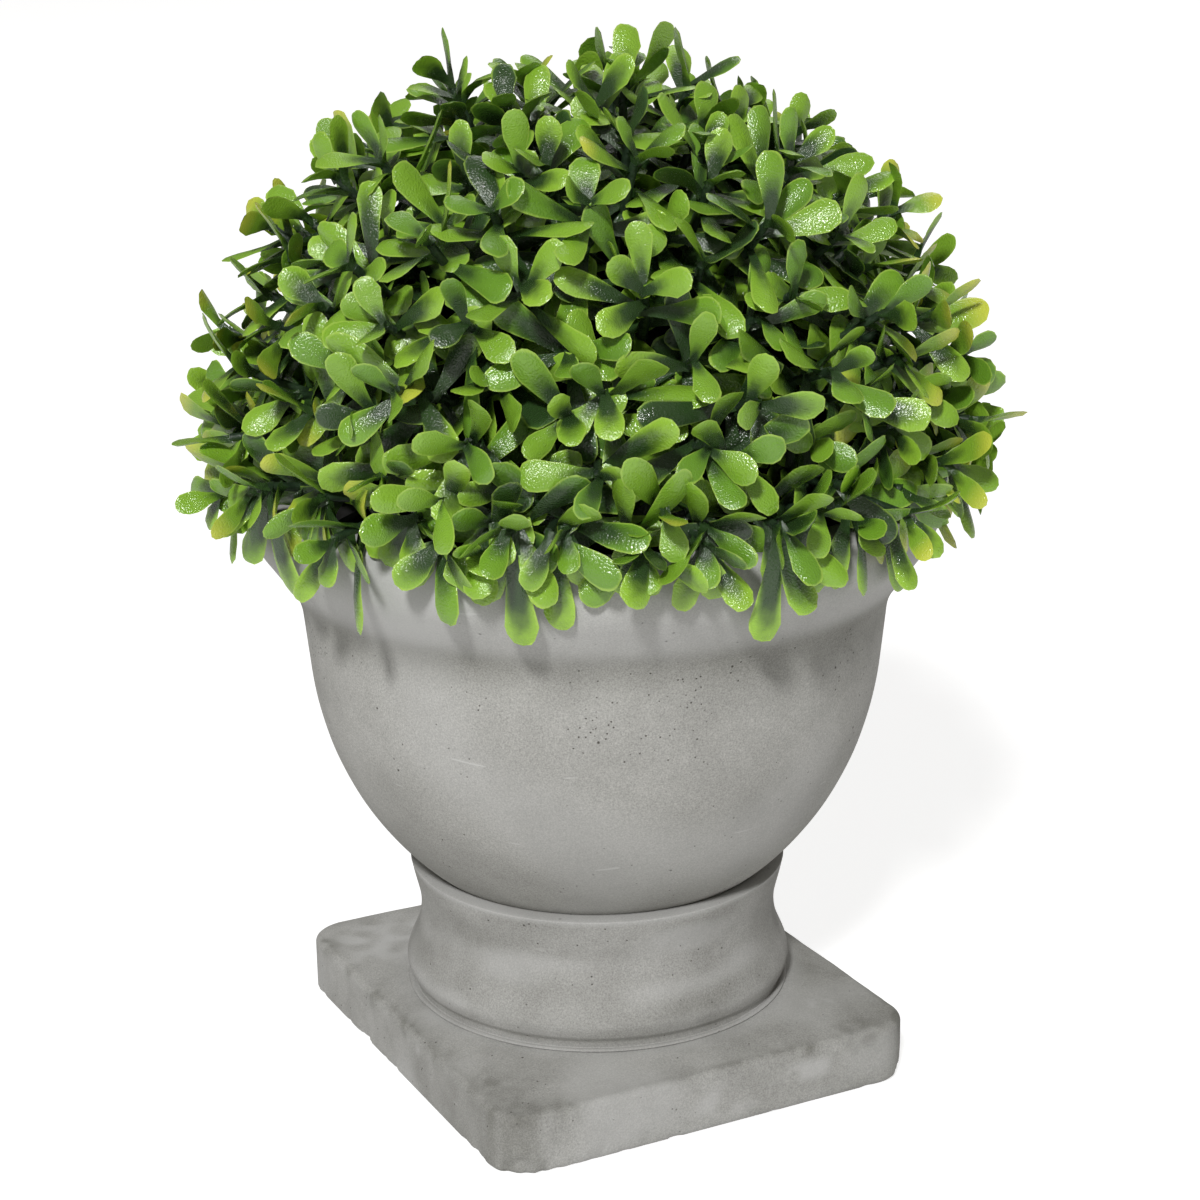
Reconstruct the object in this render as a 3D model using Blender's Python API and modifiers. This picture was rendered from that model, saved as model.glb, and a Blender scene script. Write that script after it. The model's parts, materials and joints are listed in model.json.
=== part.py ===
# Artificial boxwood ball in a small cast cement urn.
# The origin is the centre of the plinth's flat underside, +Z is up, and the plinth's sides run along X and Y.
import math
import random

import bmesh
import bpy
from mathutils import Matrix, Vector
from mathutils.bvhtree import BVHTree

# Driving dimensions, in metres
GAP = 0.0003
PLINTH_X = 0.083
PLINTH_Y = 0.091
PLINTH_TOP = 0.0126
PLINTH_CORNER = 0.0075
PLINTH_WEAR = 0.0014
COLLAR_TOP = 0.0361
BELLY_RADIUS = 0.0518
BELLY_DEPTH = 0.0564
BELLY_Z = 0.0818
RIM_Z = 0.1095
WALL = 0.0065
CROWN_RADIUS = 0.0745
CROWN_Z = 0.113
TIP_PLAY = 0.0030
CORE_RADIUS = 0.047
LEAF_LENGTH = 0.0205
SPRIGS = 50

# Sizes that follow from them
COLLAR_FOOT = PLINTH_TOP + GAP
FOOT_Z = COLLAR_TOP - 0.006
TAPER_START = BELLY_Z - 0.0058
TAPER_SLOPE = 0.10
COVE_RADIUS = 0.0262
FLARE_SLOPE = 0.73
FLARE_END = RIM_Z - 0.0115
LIP_RADIUS = 0.0113
LIP_EDGE = 0.0015
FILL_TOP = RIM_Z - 0.0135
CORE_UNDERSIDE = RIM_Z - 0.0030
LOWEST_TIP = RIM_Z - 0.0150
STEM_RADIUS = 0.0062
LEAF_WIDTH = 0.42 * LEAF_LENGTH
LEAF_THICKNESS = 0.07 * LEAF_LENGTH
TWIG_RADIUS = 0.0018
TWIG_FOOT = CORE_RADIUS - 0.0030
TWIG_END = CROWN_RADIUS - 0.0125
HANG_OUT = TWIG_END + 0.0060
HANG_BEND = 0.0025
HANG_Z = CROWN_Z + 0.0010
LEAF_CLEARANCE = 0.0009
LOWEST_SPRIG = 0.02
TURN_STEPS = 40
LEAF_TRIES = 14
SEED = 7

# The collar's outside, from its foot up, as (radius, share of its height)
COLLAR_SHAPE = (
    (0.0346, 0.0),
    (0.0357, 0.2),
    (0.0335, 0.45),
    (0.0329, 0.7),
    (0.0347, 1.0),
)

# Each pair of leaves on a sprig: place along the twig, angle from it, length as a share of the longest leaf
LEAF_PAIRS = (
    (0.52, 76, 1.00),
    (0.74, 57, 0.88),
    (0.93, 31, 0.70),
)

# Long leaves that hang over the lip: bearing in degrees and how far the tip is below the rim
HANGING_LEAVES = (
    (-180, 0.006),
    (-159, 0.0120),
    (-125, 0.0135),
    (-106, 0.0070),
    (-94, 0.0130),
    (-75, 0.0085),
    (-57, 0.0060),
    (-28, 0.0110),
    (2, 0.0070),
    (33, 0.0125),
    (62, 0.0080),
    (93, 0.0120),
    (124, 0.0065),
    (152, 0.0115),
)

# The stalk's end, its four sides as far as the widest place, and the blade from there to the tip
BLADE_FACES = (
    (0, 1, 2),
    (0, 3, 4, 1),
    (1, 4, 5, 2),
    (2, 5, 3, 0),
    (3, 6, 7, 4),
    (4, 7, 5),
    (5, 7, 6),
    (5, 6, 3),
)

CEMENT = (0.40, 0.40, 0.37)
CEMENT_PALE = (0.46, 0.46, 0.43)
FOAM = (0.03, 0.05, 0.03)
STALK = (0.05, 0.09, 0.04)
LEAF_GREEN = (0.13, 0.34, 0.05)


def clear_scene():
    for obj in list(bpy.data.objects):
        bpy.data.objects.remove(obj)


def make_collection(name):
    collection = bpy.data.collections.new(name)
    bpy.context.scene.collection.children.link(collection)
    return collection


def make_material(name, colour, roughness):
    material = bpy.data.materials.new(name)
    material.use_nodes = True
    shader = material.node_tree.nodes["Principled BSDF"]
    shader.inputs["Base Color"].default_value = (*colour, 1.0)
    shader.inputs["Roughness"].default_value = roughness
    shader.inputs["Metallic"].default_value = 0.0
    return material


def add_object(name, mesh, material, collection):
    obj = bpy.data.objects.new(name, mesh)
    obj.data.materials.append(material)
    collection.objects.link(obj)
    return obj


def turned(name, profile, material, collection):
    """A solid turned about Z from a profile that ends on the axis and runs down its outer side."""
    mesh = bpy.data.meshes.new(name)
    points = [(radius, 0.0, height) for radius, height in profile]
    edges = [(k, k + 1) for k in range(len(points) - 1)]
    mesh.from_pydata(points, edges, [])
    obj = add_object(name, mesh, material, collection)
    screw = obj.modifiers.new("turned", "SCREW")
    screw.axis = "Z"
    screw.angle = math.tau
    screw.steps = TURN_STEPS
    screw.render_steps = TURN_STEPS
    screw.use_merge_vertices = True
    screw.merge_threshold = 0.00002
    screw.use_smooth_shade = True
    return obj


def bowl_outside():
    """The bowl's outer wall from foot to lip: half an ellipse, a straight taper, a cove, a flare and a roll."""
    points = []
    foot_turn = math.acos((BELLY_Z - FOOT_Z) / BELLY_DEPTH)
    taper_turn = math.acos((BELLY_Z - TAPER_START) / BELLY_DEPTH)
    arc_points = 9
    for k in range(arc_points):
        turn = foot_turn + (taper_turn - foot_turn) * k / (arc_points - 1)
        points.append((BELLY_RADIUS * math.sin(turn), BELLY_Z - BELLY_DEPTH * math.cos(turn)))
    radius, height = points[-1]
    radius += TAPER_SLOPE * (BELLY_Z - height)
    first_lean = math.atan(TAPER_SLOPE)
    last_lean = math.atan(FLARE_SLOPE)
    cove_points = 4
    for k in range(cove_points):
        lean = first_lean + (last_lean - first_lean) * k / (cove_points - 1)
        out = COVE_RADIUS * (math.cos(first_lean) - math.cos(lean))
        up = COVE_RADIUS * (math.sin(lean) - math.sin(first_lean))
        points.append((radius + out, BELLY_Z + up))
    radius, height = points[-1]
    radius += FLARE_SLOPE * (FLARE_END - height)
    top_lean = math.asin(math.sin(last_lean) - (RIM_Z - LIP_EDGE / 2 - FLARE_END) / LIP_RADIUS)
    lip_points = 5
    for k in range(lip_points):
        lean = last_lean + (top_lean - last_lean) * k / (lip_points - 1)
        out = LIP_RADIUS * (math.cos(lean) - math.cos(last_lean))
        up = LIP_RADIUS * (math.sin(last_lean) - math.sin(lean))
        points.append((radius + out, FLARE_END + up))
    return points


def shifted_inwards(points, distance):
    """The same line moved sideways by a distance, towards the axis side."""
    moved = []
    for k, (radius, height) in enumerate(points):
        before = points[max(k - 1, 0)]
        after = points[min(k + 1, len(points) - 1)]
        along = Vector((after[0] - before[0], after[1] - before[1])).normalized()
        moved.append((radius - distance * along.y, height + distance * along.x))
    return moved


def below(points, height):
    """The part of a rising line that lies below a height, ending at that height."""
    kept = [point for point in points if point[1] < height]
    after = points[len(kept)]
    share = (height - kept[-1][1]) / (after[1] - kept[-1][1])
    return kept + [(kept[-1][0] + (after[0] - kept[-1][0]) * share, height)]


def make_plinth(material, collection):
    """A square-edged cement slab with rounded corners and worn edges."""
    bm = bmesh.new()
    bmesh.ops.create_cube(bm, size=1.0)
    bmesh.ops.scale(bm, vec=(PLINTH_X, PLINTH_Y, PLINTH_TOP), verts=bm.verts)
    bmesh.ops.translate(bm, vec=(0.0, 0.0, PLINTH_TOP / 2), verts=bm.verts)
    upright = [e for e in bm.edges if abs(e.verts[0].co.z - e.verts[1].co.z) > PLINTH_TOP / 2]
    bmesh.ops.bevel(bm, geom=upright, offset=PLINTH_CORNER, segments=5, profile=0.5, affect="EDGES")
    mesh = bpy.data.meshes.new("plinth")
    bm.to_mesh(mesh)
    bm.free()
    obj = add_object("plinth", mesh, material, collection)
    wear = obj.modifiers.new("worn edges", "BEVEL")
    wear.width = PLINTH_WEAR
    wear.segments = 2
    wear.limit_method = "ANGLE"
    wear.angle_limit = math.radians(60)
    return obj


def make_collar(material, collection):
    """The waisted foot between plinth and bowl, hollowed on top as a seat for the bowl."""
    seat = below(shifted_inwards(bowl_outside(), -GAP), COLLAR_TOP)
    profile = [(0.0, seat[0][1])] + seat
    span = COLLAR_TOP - COLLAR_FOOT
    steps = 3
    outside = []
    for k in range(len(COLLAR_SHAPE) - 1):
        before = COLLAR_SHAPE[max(k - 1, 0)]
        start = COLLAR_SHAPE[k]
        end = COLLAR_SHAPE[k + 1]
        after = COLLAR_SHAPE[min(k + 2, len(COLLAR_SHAPE) - 1)]
        for j in range(steps):
            share = j / steps
            height = start[1] + (end[1] - start[1]) * share
            radius = hermite(before, start, end, after, share)
            outside.append((radius, COLLAR_FOOT + height * span))
    outside.append((COLLAR_SHAPE[-1][0], COLLAR_TOP))
    profile += reversed(outside)
    profile.append((0.0, COLLAR_FOOT))
    return turned("collar", profile, material, collection)


def hermite(before, start, end, after, share):
    """Radius on a smooth curve through four (radius, height) points, between the middle two."""
    step = end[1] - start[1]
    slope_in = (end[0] - before[0]) / (end[1] - before[1]) * step
    slope_out = (after[0] - start[0]) / (after[1] - start[1]) * step
    s2 = share * share
    s3 = s2 * share
    return (
        (2 * s3 - 3 * s2 + 1) * start[0]
        + (s3 - 2 * s2 + share) * slope_in
        + (3 * s2 - 2 * s3) * end[0]
        + (s3 - s2) * slope_out
    )


def make_bowl(material, collection):
    """The hollow bowl, with a rounded lip."""
    outside = bowl_outside()
    inside = below(shifted_inwards(outside, WALL), RIM_Z - 2 * LIP_EDGE)
    edge_radius = outside[-1][0]
    profile = [(0.0, inside[0][1])] + inside
    profile.append((edge_radius - WALL, RIM_Z - LIP_EDGE))
    profile.append((edge_radius - WALL + LIP_EDGE, RIM_Z))
    profile.append((edge_radius - LIP_EDGE / 2, RIM_Z))
    profile += reversed(outside)
    profile.append((0.0, outside[0][1]))
    return turned("bowl", profile, material, collection)


def make_fill(material, collection):
    """Foam that fills the bowl to below its rim and holds the stem."""
    side = below(shifted_inwards(bowl_outside(), WALL + GAP), FILL_TOP)
    profile = [(0.0, FILL_TOP)]
    profile += reversed(side)
    profile.append((0.0, side[0][1]))
    return turned("fill", profile, material, collection)


def make_stem(material, collection):
    """The short stem that carries the ball, hidden inside it."""
    foot = FILL_TOP + GAP
    top = CORE_UNDERSIDE - GAP
    profile = [(0.0, top), (STEM_RADIUS * 0.8, top), (STEM_RADIUS * 0.85, (foot + top) / 2)]
    profile += [(STEM_RADIUS, foot), (0.0, foot)]
    return turned("stem", profile, material, collection)


def blade_points(start_at, half_start, start_depth, start_rise):
    """Points of one leaf of unit length along +Y and unit width: a stalk's end, the widest place and the tip."""
    wide_at = 0.68
    half_tip = 0.27
    return [
        (-half_start, start_at, -start_depth),
        (half_start, start_at, -start_depth),
        (0.0, start_at, start_rise),
        (-0.5, wide_at, -0.1),
        (0.5, wide_at, -0.1),
        (0.0, wide_at - 0.08, 0.5),
        (-half_tip, 1.0, -0.5),
        (half_tip, 1.0, -0.5),
    ]


def leaf_blade():
    """The leaf's closed mesh, thick along its middle."""
    mesh = bpy.data.meshes.new("leaf blade")
    mesh.from_pydata(blade_points(-0.02, 0.05, 0.15, 0.3), [], BLADE_FACES)
    bm = bmesh.new()
    bm.from_mesh(mesh)
    bmesh.ops.triangulate(bm, faces=bm.faces)
    bmesh.ops.recalc_face_normals(bm, faces=bm.faces)
    bm.to_mesh(mesh)
    bm.free()
    return mesh


def twig_mesh():
    """A three-sided twig of unit length along +Z that tapers towards its tip."""
    bm = bmesh.new()
    bmesh.ops.create_cone(bm, cap_ends=True, segments=3, radius1=1.0, radius2=0.85, depth=1.0)
    bmesh.ops.translate(bm, vec=(0.0, 0.0, 0.5), verts=bm.verts)
    mesh = bpy.data.meshes.new("twig")
    bm.to_mesh(mesh)
    bm.free()
    return mesh


def sprig_direction(index):
    """Even directions over the upper half of the ball, by the golden angle."""
    golden_turn = math.pi * (3 - math.sqrt(5))
    up = 1 - (index + 0.5) / SPRIGS * (1 - LOWEST_SPRIG)
    flat = math.sqrt(1 - up * up)
    return Vector((flat * math.cos(index * golden_turn), flat * math.sin(index * golden_turn), up))


def square_to(axis):
    """Two directions square to the axis and to each other."""
    helper = Vector((0.0, 0.0, 1.0)) if abs(axis.z) < 0.9 else Vector((1.0, 0.0, 0.0))
    side = axis.cross(helper).normalized()
    return side, axis.cross(side)


def outside_radius_at(height):
    """The urn's outer radius at a height near its lip."""
    points = bowl_outside()
    for lower, upper in zip(points, points[1:]):
        if lower[1] <= height <= upper[1]:
            share = (height - lower[1]) / (upper[1] - lower[1])
            return lower[0] + (upper[0] - lower[0]) * share
    return points[-1][0]


def is_clear(points):
    """True where every point keeps inside the crown's space and off the urn."""
    centre = Vector((0.0, 0.0, CROWN_Z))
    for point in points:
        if point.z < LOWEST_TIP or (point - centre).length > CROWN_RADIUS + TIP_PLAY:
            return False
        if point.z < RIM_Z + LEAF_CLEARANCE:
            if math.hypot(point.x, point.y) < outside_radius_at(point.z) + LEAF_CLEARANCE:
                return False
    return True


def leaf_frame(root, along, upper, length):
    """The matrix that puts a unit leaf at its root, pointing along, with its upper face turned to upper."""
    across = along.cross(upper).normalized()
    face = across.cross(along).normalized()
    turn = Matrix((across, along, face)).transposed().to_4x4()
    size = length / LEAF_LENGTH
    scale = Matrix.Diagonal((LEAF_WIDTH * size, length, LEAF_THICKNESS * size, 1.0))
    return Matrix.Translation(root) @ turn @ scale


def blade_samples(frame):
    """Points along the edges of a placed leaf."""
    corners = [frame @ Vector(point) for point in blade_points(0.2, 0.2, 0.2, 0.4)]
    samples = []
    for face in BLADE_FACES:
        for here, there in zip(face, face[1:] + face[:1]):
            samples += [corners[here].lerp(corners[there], share) for share in (0.0, 0.25, 0.5, 0.75)]
    return samples


def free_blade(frame):
    """The part of a leaf that stands free of its twig, for telling which leaves cross."""
    points = [frame @ Vector(point) for point in blade_points(0.32, 0.28, 0.2, 0.4)]
    return BVHTree.FromPolygons(points, BLADE_FACES), points[5]


def sprig_leaves(rng, foot, axis, reach, taken):
    """Frames of the leaves on one twig: opposite pairs, each turned a quarter from the one below."""
    side, cross = square_to(axis)
    first_turn = rng.uniform(0.0, math.tau)
    droop = max(0.0, 0.5 - axis.z) * 1.2
    frames = []
    for pair, (place, spread, share) in enumerate(LEAF_PAIRS):
        for half in range(2):
            for attempt in range(LEAF_TRIES):
                loose = 0.25 + 0.75 * attempt / LEAF_TRIES
                turn = first_turn + pair * math.pi / 2 + half * math.pi + rng.uniform(-0.7, 0.7) * loose
                lean = math.radians(spread + rng.uniform(-30, 24) * loose)
                length = LEAF_LENGTH * share * rng.uniform(0.86, 1.06)
                out = side * math.cos(turn) + cross * math.sin(turn)
                along = axis * math.cos(lean) + out * math.sin(lean)
                along = (along - Vector((0.0, 0.0, droop))).normalized()
                upper = axis * math.sin(lean) - out * math.cos(lean)
                root = foot + axis * reach * place
                frame = leaf_frame(root, along, upper, length)
                if not is_clear(blade_samples(frame)):
                    continue
                blade, middle = free_blade(frame)
                near = [other for other, place_of in taken if (place_of - middle).length < LEAF_LENGTH]
                if any(blade.overlap(other) for other in near):
                    continue
                taken.append((blade, middle))
                frames.append(frame)
                break
    return frames


def hanging_sprigs(taken):
    """Twigs just over the lip, each ending in a long leaf that hangs down outside it."""
    sprigs = []
    for index, (bearing, drop) in enumerate(HANGING_LEAVES):
        rng = random.Random(SEED * 100 + index)
        turn = math.radians(bearing)
        out = Vector((math.cos(turn), math.sin(turn), 0.0))
        foot = out * TWIG_FOOT + Vector((0.0, 0.0, HANG_Z))
        tip = out * (HANG_OUT - HANG_BEND) + Vector((0.0, 0.0, HANG_Z + 0.5 * HANG_BEND))
        end = out * HANG_OUT + Vector((0.0, 0.0, RIM_Z - drop))
        root = foot.lerp(tip, 0.96)
        hang = end - root
        frame = leaf_frame(root, hang.normalized(), out, min(hang.length, LEAF_LENGTH * 1.1))
        taken.append(free_blade(frame))
        axis = (tip - foot).normalized()
        frames = [frame] + sprig_leaves(rng, foot, axis, (tip - foot).length, taken)
        sprigs.append((foot, tip, frames))
    return sprigs


def ball_sprigs(taken):
    """Twigs that stand out of the core all over the ball, each with its pairs of leaves."""
    sprigs = []
    centre = Vector((0.0, 0.0, CROWN_Z))
    for index in range(SPRIGS):
        rng = random.Random(SEED * 1000 + index)
        direction = sprig_direction(index)
        wander = Vector([rng.uniform(-0.14, 0.14) for _ in range(3)])
        axis = (direction + wander).normalized()
        foot = centre + direction * TWIG_FOOT
        reach = TWIG_END + rng.uniform(-0.002, 0.003) - TWIG_FOOT
        tip = foot + axis * reach
        underside = Vector((0.0, 0.0, -TWIG_RADIUS))
        if is_clear([foot.lerp(tip, share) + underside for share in (0.5, 0.75, 1.0)]):
            sprigs.append((foot, tip, sprig_leaves(rng, foot, axis, reach, taken)))
    return sprigs


def make_crown(material, collection, pieces):
    """The clipped ball of foliage: a core with twigs and leaves standing out of it, fused into one."""
    bm = bmesh.new()
    bmesh.ops.create_icosphere(bm, subdivisions=3, radius=CORE_RADIUS)
    bmesh.ops.translate(bm, vec=(0.0, 0.0, CROWN_Z), verts=bm.verts)
    bmesh.ops.bisect_plane(
        bm,
        geom=bm.verts[:] + bm.edges[:] + bm.faces[:],
        plane_co=(0.0, 0.0, CORE_UNDERSIDE),
        plane_no=(0.0, 0.0, 1.0),
        clear_inner=True,
    )
    bmesh.ops.holes_fill(bm, edges=[e for e in bm.edges if e.is_boundary])
    bmesh.ops.recalc_face_normals(bm, faces=bm.faces)
    mesh = bpy.data.meshes.new("crown")
    bm.to_mesh(mesh)
    bm.free()
    crown = add_object("crown", mesh, material, collection)
    blade = leaf_blade()
    twig = twig_mesh()
    taken = []
    for foot, tip, frames in hanging_sprigs(taken) + ball_sprigs(taken):
        axis = tip - foot
        turn = axis.to_track_quat("Z", "X").to_matrix().to_4x4()
        scale = Matrix.Diagonal((TWIG_RADIUS, TWIG_RADIUS, axis.length, 1.0))
        add_piece(twig, Matrix.Translation(foot) @ turn @ scale, pieces)
        for frame in frames:
            add_piece(blade, frame, pieces)
    union = crown.modifiers.new("fused", "BOOLEAN")
    union.operation = "UNION"
    union.operand_type = "COLLECTION"
    union.collection = pieces
    union.solver = "MANIFOLD"
    graph = bpy.context.evaluated_depsgraph_get()
    fused = bpy.data.meshes.new_from_object(crown.evaluated_get(graph))
    crown.modifiers.clear()
    crown.data = fused
    for piece in list(pieces.objects):
        bpy.data.objects.remove(piece)
    bpy.data.collections.remove(pieces)
    keep_main_body(fused)
    return crown


def add_piece(mesh, frame, pieces):
    piece = bpy.data.objects.new(mesh.name, mesh)
    piece.matrix_world = frame
    piece.hide_render = True
    piece.display_type = "WIRE"
    pieces.objects.link(piece)


def keep_main_body(mesh):
    """Keeps the largest body, so that loose scraps and the walls of sealed hollows go, and joins flat faces."""
    bm = bmesh.new()
    bm.from_mesh(mesh)
    unseen = set(bm.verts)
    groups = []
    while unseen:
        stack = [unseen.pop()]
        group = []
        while stack:
            vert = stack.pop()
            group.append(vert)
            for edge in vert.link_edges:
                neighbour = edge.other_vert(vert)
                if neighbour in unseen:
                    unseen.remove(neighbour)
                    stack.append(neighbour)
        groups.append(group)
    groups.sort(key=len)
    for group in groups[:-1]:
        bmesh.ops.delete(bm, geom=group, context="VERTS")
    one_plane = math.radians(1.0)
    bmesh.ops.dissolve_limit(bm, angle_limit=one_plane, verts=bm.verts, edges=bm.edges)
    bm.to_mesh(mesh)
    bm.free()


def build():
    clear_scene()
    parts = make_collection("potted_boxwood")
    pieces = make_collection("crown pieces")
    cement = make_material("cement", CEMENT, 0.8)
    pale_cement = make_material("pale cement", CEMENT_PALE, 0.85)
    make_plinth(pale_cement, parts)
    make_collar(pale_cement, parts)
    make_bowl(cement, parts)
    make_fill(make_material("foam", FOAM, 0.9), parts)
    make_stem(make_material("stalk", STALK, 0.7), parts)
    make_crown(make_material("leaf", LEAF_GREEN, 0.4), parts, pieces)


build()
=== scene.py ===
# An artificial boxwood ball in a small cast cement urn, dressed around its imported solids.
import json
import math
import random

import bmesh
import bpy
from mathutils import Matrix, Vector, noise
from mathutils.bvhtree import BVHTree

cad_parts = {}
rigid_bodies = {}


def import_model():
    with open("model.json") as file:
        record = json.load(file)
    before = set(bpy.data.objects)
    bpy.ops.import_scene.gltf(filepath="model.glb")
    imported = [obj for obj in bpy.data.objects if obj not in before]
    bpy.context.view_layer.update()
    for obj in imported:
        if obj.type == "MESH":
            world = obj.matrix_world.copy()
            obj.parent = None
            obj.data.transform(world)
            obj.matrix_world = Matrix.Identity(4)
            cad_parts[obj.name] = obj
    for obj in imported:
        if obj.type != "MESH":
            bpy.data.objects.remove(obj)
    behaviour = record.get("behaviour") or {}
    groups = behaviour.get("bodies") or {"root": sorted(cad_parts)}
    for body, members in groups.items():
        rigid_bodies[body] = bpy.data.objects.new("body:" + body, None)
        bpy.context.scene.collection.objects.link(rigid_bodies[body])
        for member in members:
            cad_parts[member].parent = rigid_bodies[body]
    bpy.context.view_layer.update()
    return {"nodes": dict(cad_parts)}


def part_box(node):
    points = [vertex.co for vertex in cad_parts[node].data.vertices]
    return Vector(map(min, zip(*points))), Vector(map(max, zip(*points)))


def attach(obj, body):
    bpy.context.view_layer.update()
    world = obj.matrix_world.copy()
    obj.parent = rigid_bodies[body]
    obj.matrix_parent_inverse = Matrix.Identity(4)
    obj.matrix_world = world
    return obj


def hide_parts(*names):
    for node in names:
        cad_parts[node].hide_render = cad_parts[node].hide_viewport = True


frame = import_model()


# The view: a camera on a stand, a little above the urn and looking down on it.
# The lens is long, and the picture leans very slightly, as a hand-levelled one does.
def scene_object(name, data):
    """A new object of the scene that holds this data."""
    new_object = bpy.data.objects.new(name, data)
    bpy.context.scene.collection.objects.link(new_object)
    return new_object


camera_distance = 0.4501
camera_height = 0.2237
camera_bearing = math.radians(-27.27)
camera_pitch = math.radians(17.14)
camera_yaw = math.radians(-0.12)
camera_lean = math.radians(-0.49)

camera_data = bpy.data.cameras.new("camera")
camera_data.sensor_width = 36.0
camera_data.lens = 78.14
camera_data.clip_start = 0.01
camera = scene_object("camera", camera_data)
camera_turn = (
    Matrix.Rotation(camera_bearing + camera_yaw, 4, "Z")
    @ Matrix.Rotation(math.pi / 2 - camera_pitch, 4, "X")
    @ Matrix.Rotation(camera_lean, 4, "Z")
)
camera_x = camera_distance * math.sin(camera_bearing)
camera_y = -camera_distance * math.cos(camera_bearing)
camera.matrix_world = Matrix.Translation((camera_x, camera_y, camera_height)) @ camera_turn
bpy.context.scene.camera = camera
bpy.context.scene.view_settings.view_transform = "Standard"


# The studio: a wide pale floor, a small bright lamp high up beside the camera, a wide weak one behind the urn
# and a dim surround. The key lamp's width sets how soft the leaves' shadows fall on the urn.
def fill_in(tree, node, inputs):
    """Sets a node's inputs, by name or number, to plain values, or links other nodes' outputs to them."""
    for key, value in dict(inputs).items():
        if isinstance(value, bpy.types.NodeSocket):
            tree.links.new(value, node.inputs[key])
        else:
            node.inputs[key].default_value = value


def add_node(tree, kind, inputs=(), **settings):
    """A new node with these settings and inputs, to the right of those before it."""
    node = tree.nodes.new(kind)
    node.location.x = 200 * len(tree.nodes)
    for name, value in settings.items():
        setattr(node, name, value)
    fill_in(tree, node, inputs)
    return node


def worked_out(tree, operation, *terms):
    """What a Math node makes of these terms."""
    return add_node(tree, "ShaderNodeMath", enumerate(terms), operation=operation).outputs[0]


def mixed(tree, share, first, second, blend="MIX"):
    """Two colours mixed by a share, in the way that blend names."""
    inputs = {"Factor": share}
    for key, colour in ((6, first), (7, second)):
        inputs[key] = colour if isinstance(colour, bpy.types.NodeSocket) else (*colour, 1.0)
    return add_node(tree, "ShaderNodeMix", inputs, data_type="RGBA", blend_type=blend).outputs[2]


def seen_directly(tree):
    """1 where the camera itself looks, 0 for the light that the surface or the surround gives."""
    return add_node(tree, "ShaderNodeLightPath").outputs["Is Camera Ray"]


def new_material(name):
    """A material with its node tree and its shader."""
    material = bpy.data.materials.new(name)
    material.use_nodes = True
    return material, material.node_tree, material.node_tree.nodes["Principled BSDF"]


lamp_distance = 4.0
lamp_target = Vector((0.0, 0.0, 0.1))


def soft_lamp(name, bearing, height, width, power):
    """A square lamp that looks at the middle of the urn from a bearing and a height in degrees."""
    turn = math.radians(bearing)
    rise = math.radians(height)
    away = Vector((math.sin(turn) * math.cos(rise), -math.cos(turn) * math.cos(rise), math.sin(rise)))
    lamp_data = bpy.data.lights.new(name, "AREA")
    lamp_data.size = width
    lamp_data.energy = power
    place = Matrix.Translation(lamp_target + away * lamp_distance)
    scene_object(name, lamp_data).matrix_world = place @ away.to_track_quat("Z", "Y").to_matrix().to_4x4()


floor_half = 12.0
floor_mesh = bpy.data.meshes.new("floor")
floor_corners = [(x * floor_half, y * floor_half, 0.0) for x, y in ((-1, -1), (1, -1), (1, 1), (-1, 1))]
floor_mesh.from_pydata(floor_corners, [], [(0, 1, 2, 3)])
floor = scene_object("floor", floor_mesh)
floor_paint, floor_tree, floor_shader = new_material("pale floor")
floor_look = {
    "Base Color": (0.55, 0.55, 0.55, 1.0),
    "Roughness": 0.9,
    "Emission Color": (1.0, 1.0, 1.0, 1.0),
    "Emission Strength": worked_out(floor_tree, "MULTIPLY_ADD", seen_directly(floor_tree), 0.46, 0.30),
}
fill_in(floor_tree, floor_shader, floor_look)
floor_mesh.materials.append(floor_paint)

soft_lamp("key lamp", bearing=-39.0, height=39.0, width=0.42, power=110.0)
soft_lamp("back lamp", bearing=140.0, height=45.0, width=2.0, power=24.0)

world = bpy.data.worlds.new("surround")
bpy.context.scene.world = world
world.use_nodes = True
sky_tree = world.node_tree
surround = mixed(sky_tree, seen_directly(sky_tree), (0.16, 0.152, 0.141), (0.92, 0.92, 0.92))
fill_in(sky_tree, sky_tree.nodes["Background"], {"Color": surround, "Strength": 1.0})


# Cast cement, the stuff of the whole urn: a fine grey skin with soft clouds from the drying,
# pinholes that air bubbles left, and thin pale scratches. Each part of the urn has its own mix of them.
def new_group(name, kind, inputs, outputs):
    """A node group with named sockets, (name, kind, default) in and (name, kind) out, and its two ends."""
    group = bpy.data.node_groups.new(name, kind)
    for label, sort, default in inputs:
        socket = group.interface.new_socket(label, in_out="INPUT", socket_type="NodeSocket" + sort)
        if default is not None:
            socket.default_value = default
    for label, sort in outputs:
        group.interface.new_socket(label, in_out="OUTPUT", socket_type="NodeSocket" + sort)
    return group, group.nodes.new("NodeGroupInput").outputs, group.nodes.new("NodeGroupOutput")


def ranged(tree, value, low, high, to_low=0.0, to_high=1.0, shape="SMOOTHSTEP"):
    """A value brought from one range to another, and held inside it."""
    inputs = {"Value": value, "From Min": low, "From Max": high, "To Min": to_low, "To Max": to_high}
    return add_node(tree, "ShaderNodeMapRange", inputs, interpolation_type=shape).outputs["Result"]


def noise_at(tree, place, scale, detail=2.0, roughness=0.5, distortion=0.0):
    """Smooth noise at a place, between 0 and 1."""
    inputs = {"Vector": place, "Scale": scale, "Detail": detail, "Roughness": roughness}
    return add_node(tree, "ShaderNodeTexNoise", {**inputs, "Distortion": distortion}).outputs["Fac"]


def mapped(tree, place, **change):
    """A place turned or stretched by the mapping's own inputs."""
    return add_node(tree, "ShaderNodeMapping", {"Vector": place, **change}).outputs["Vector"]


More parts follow.
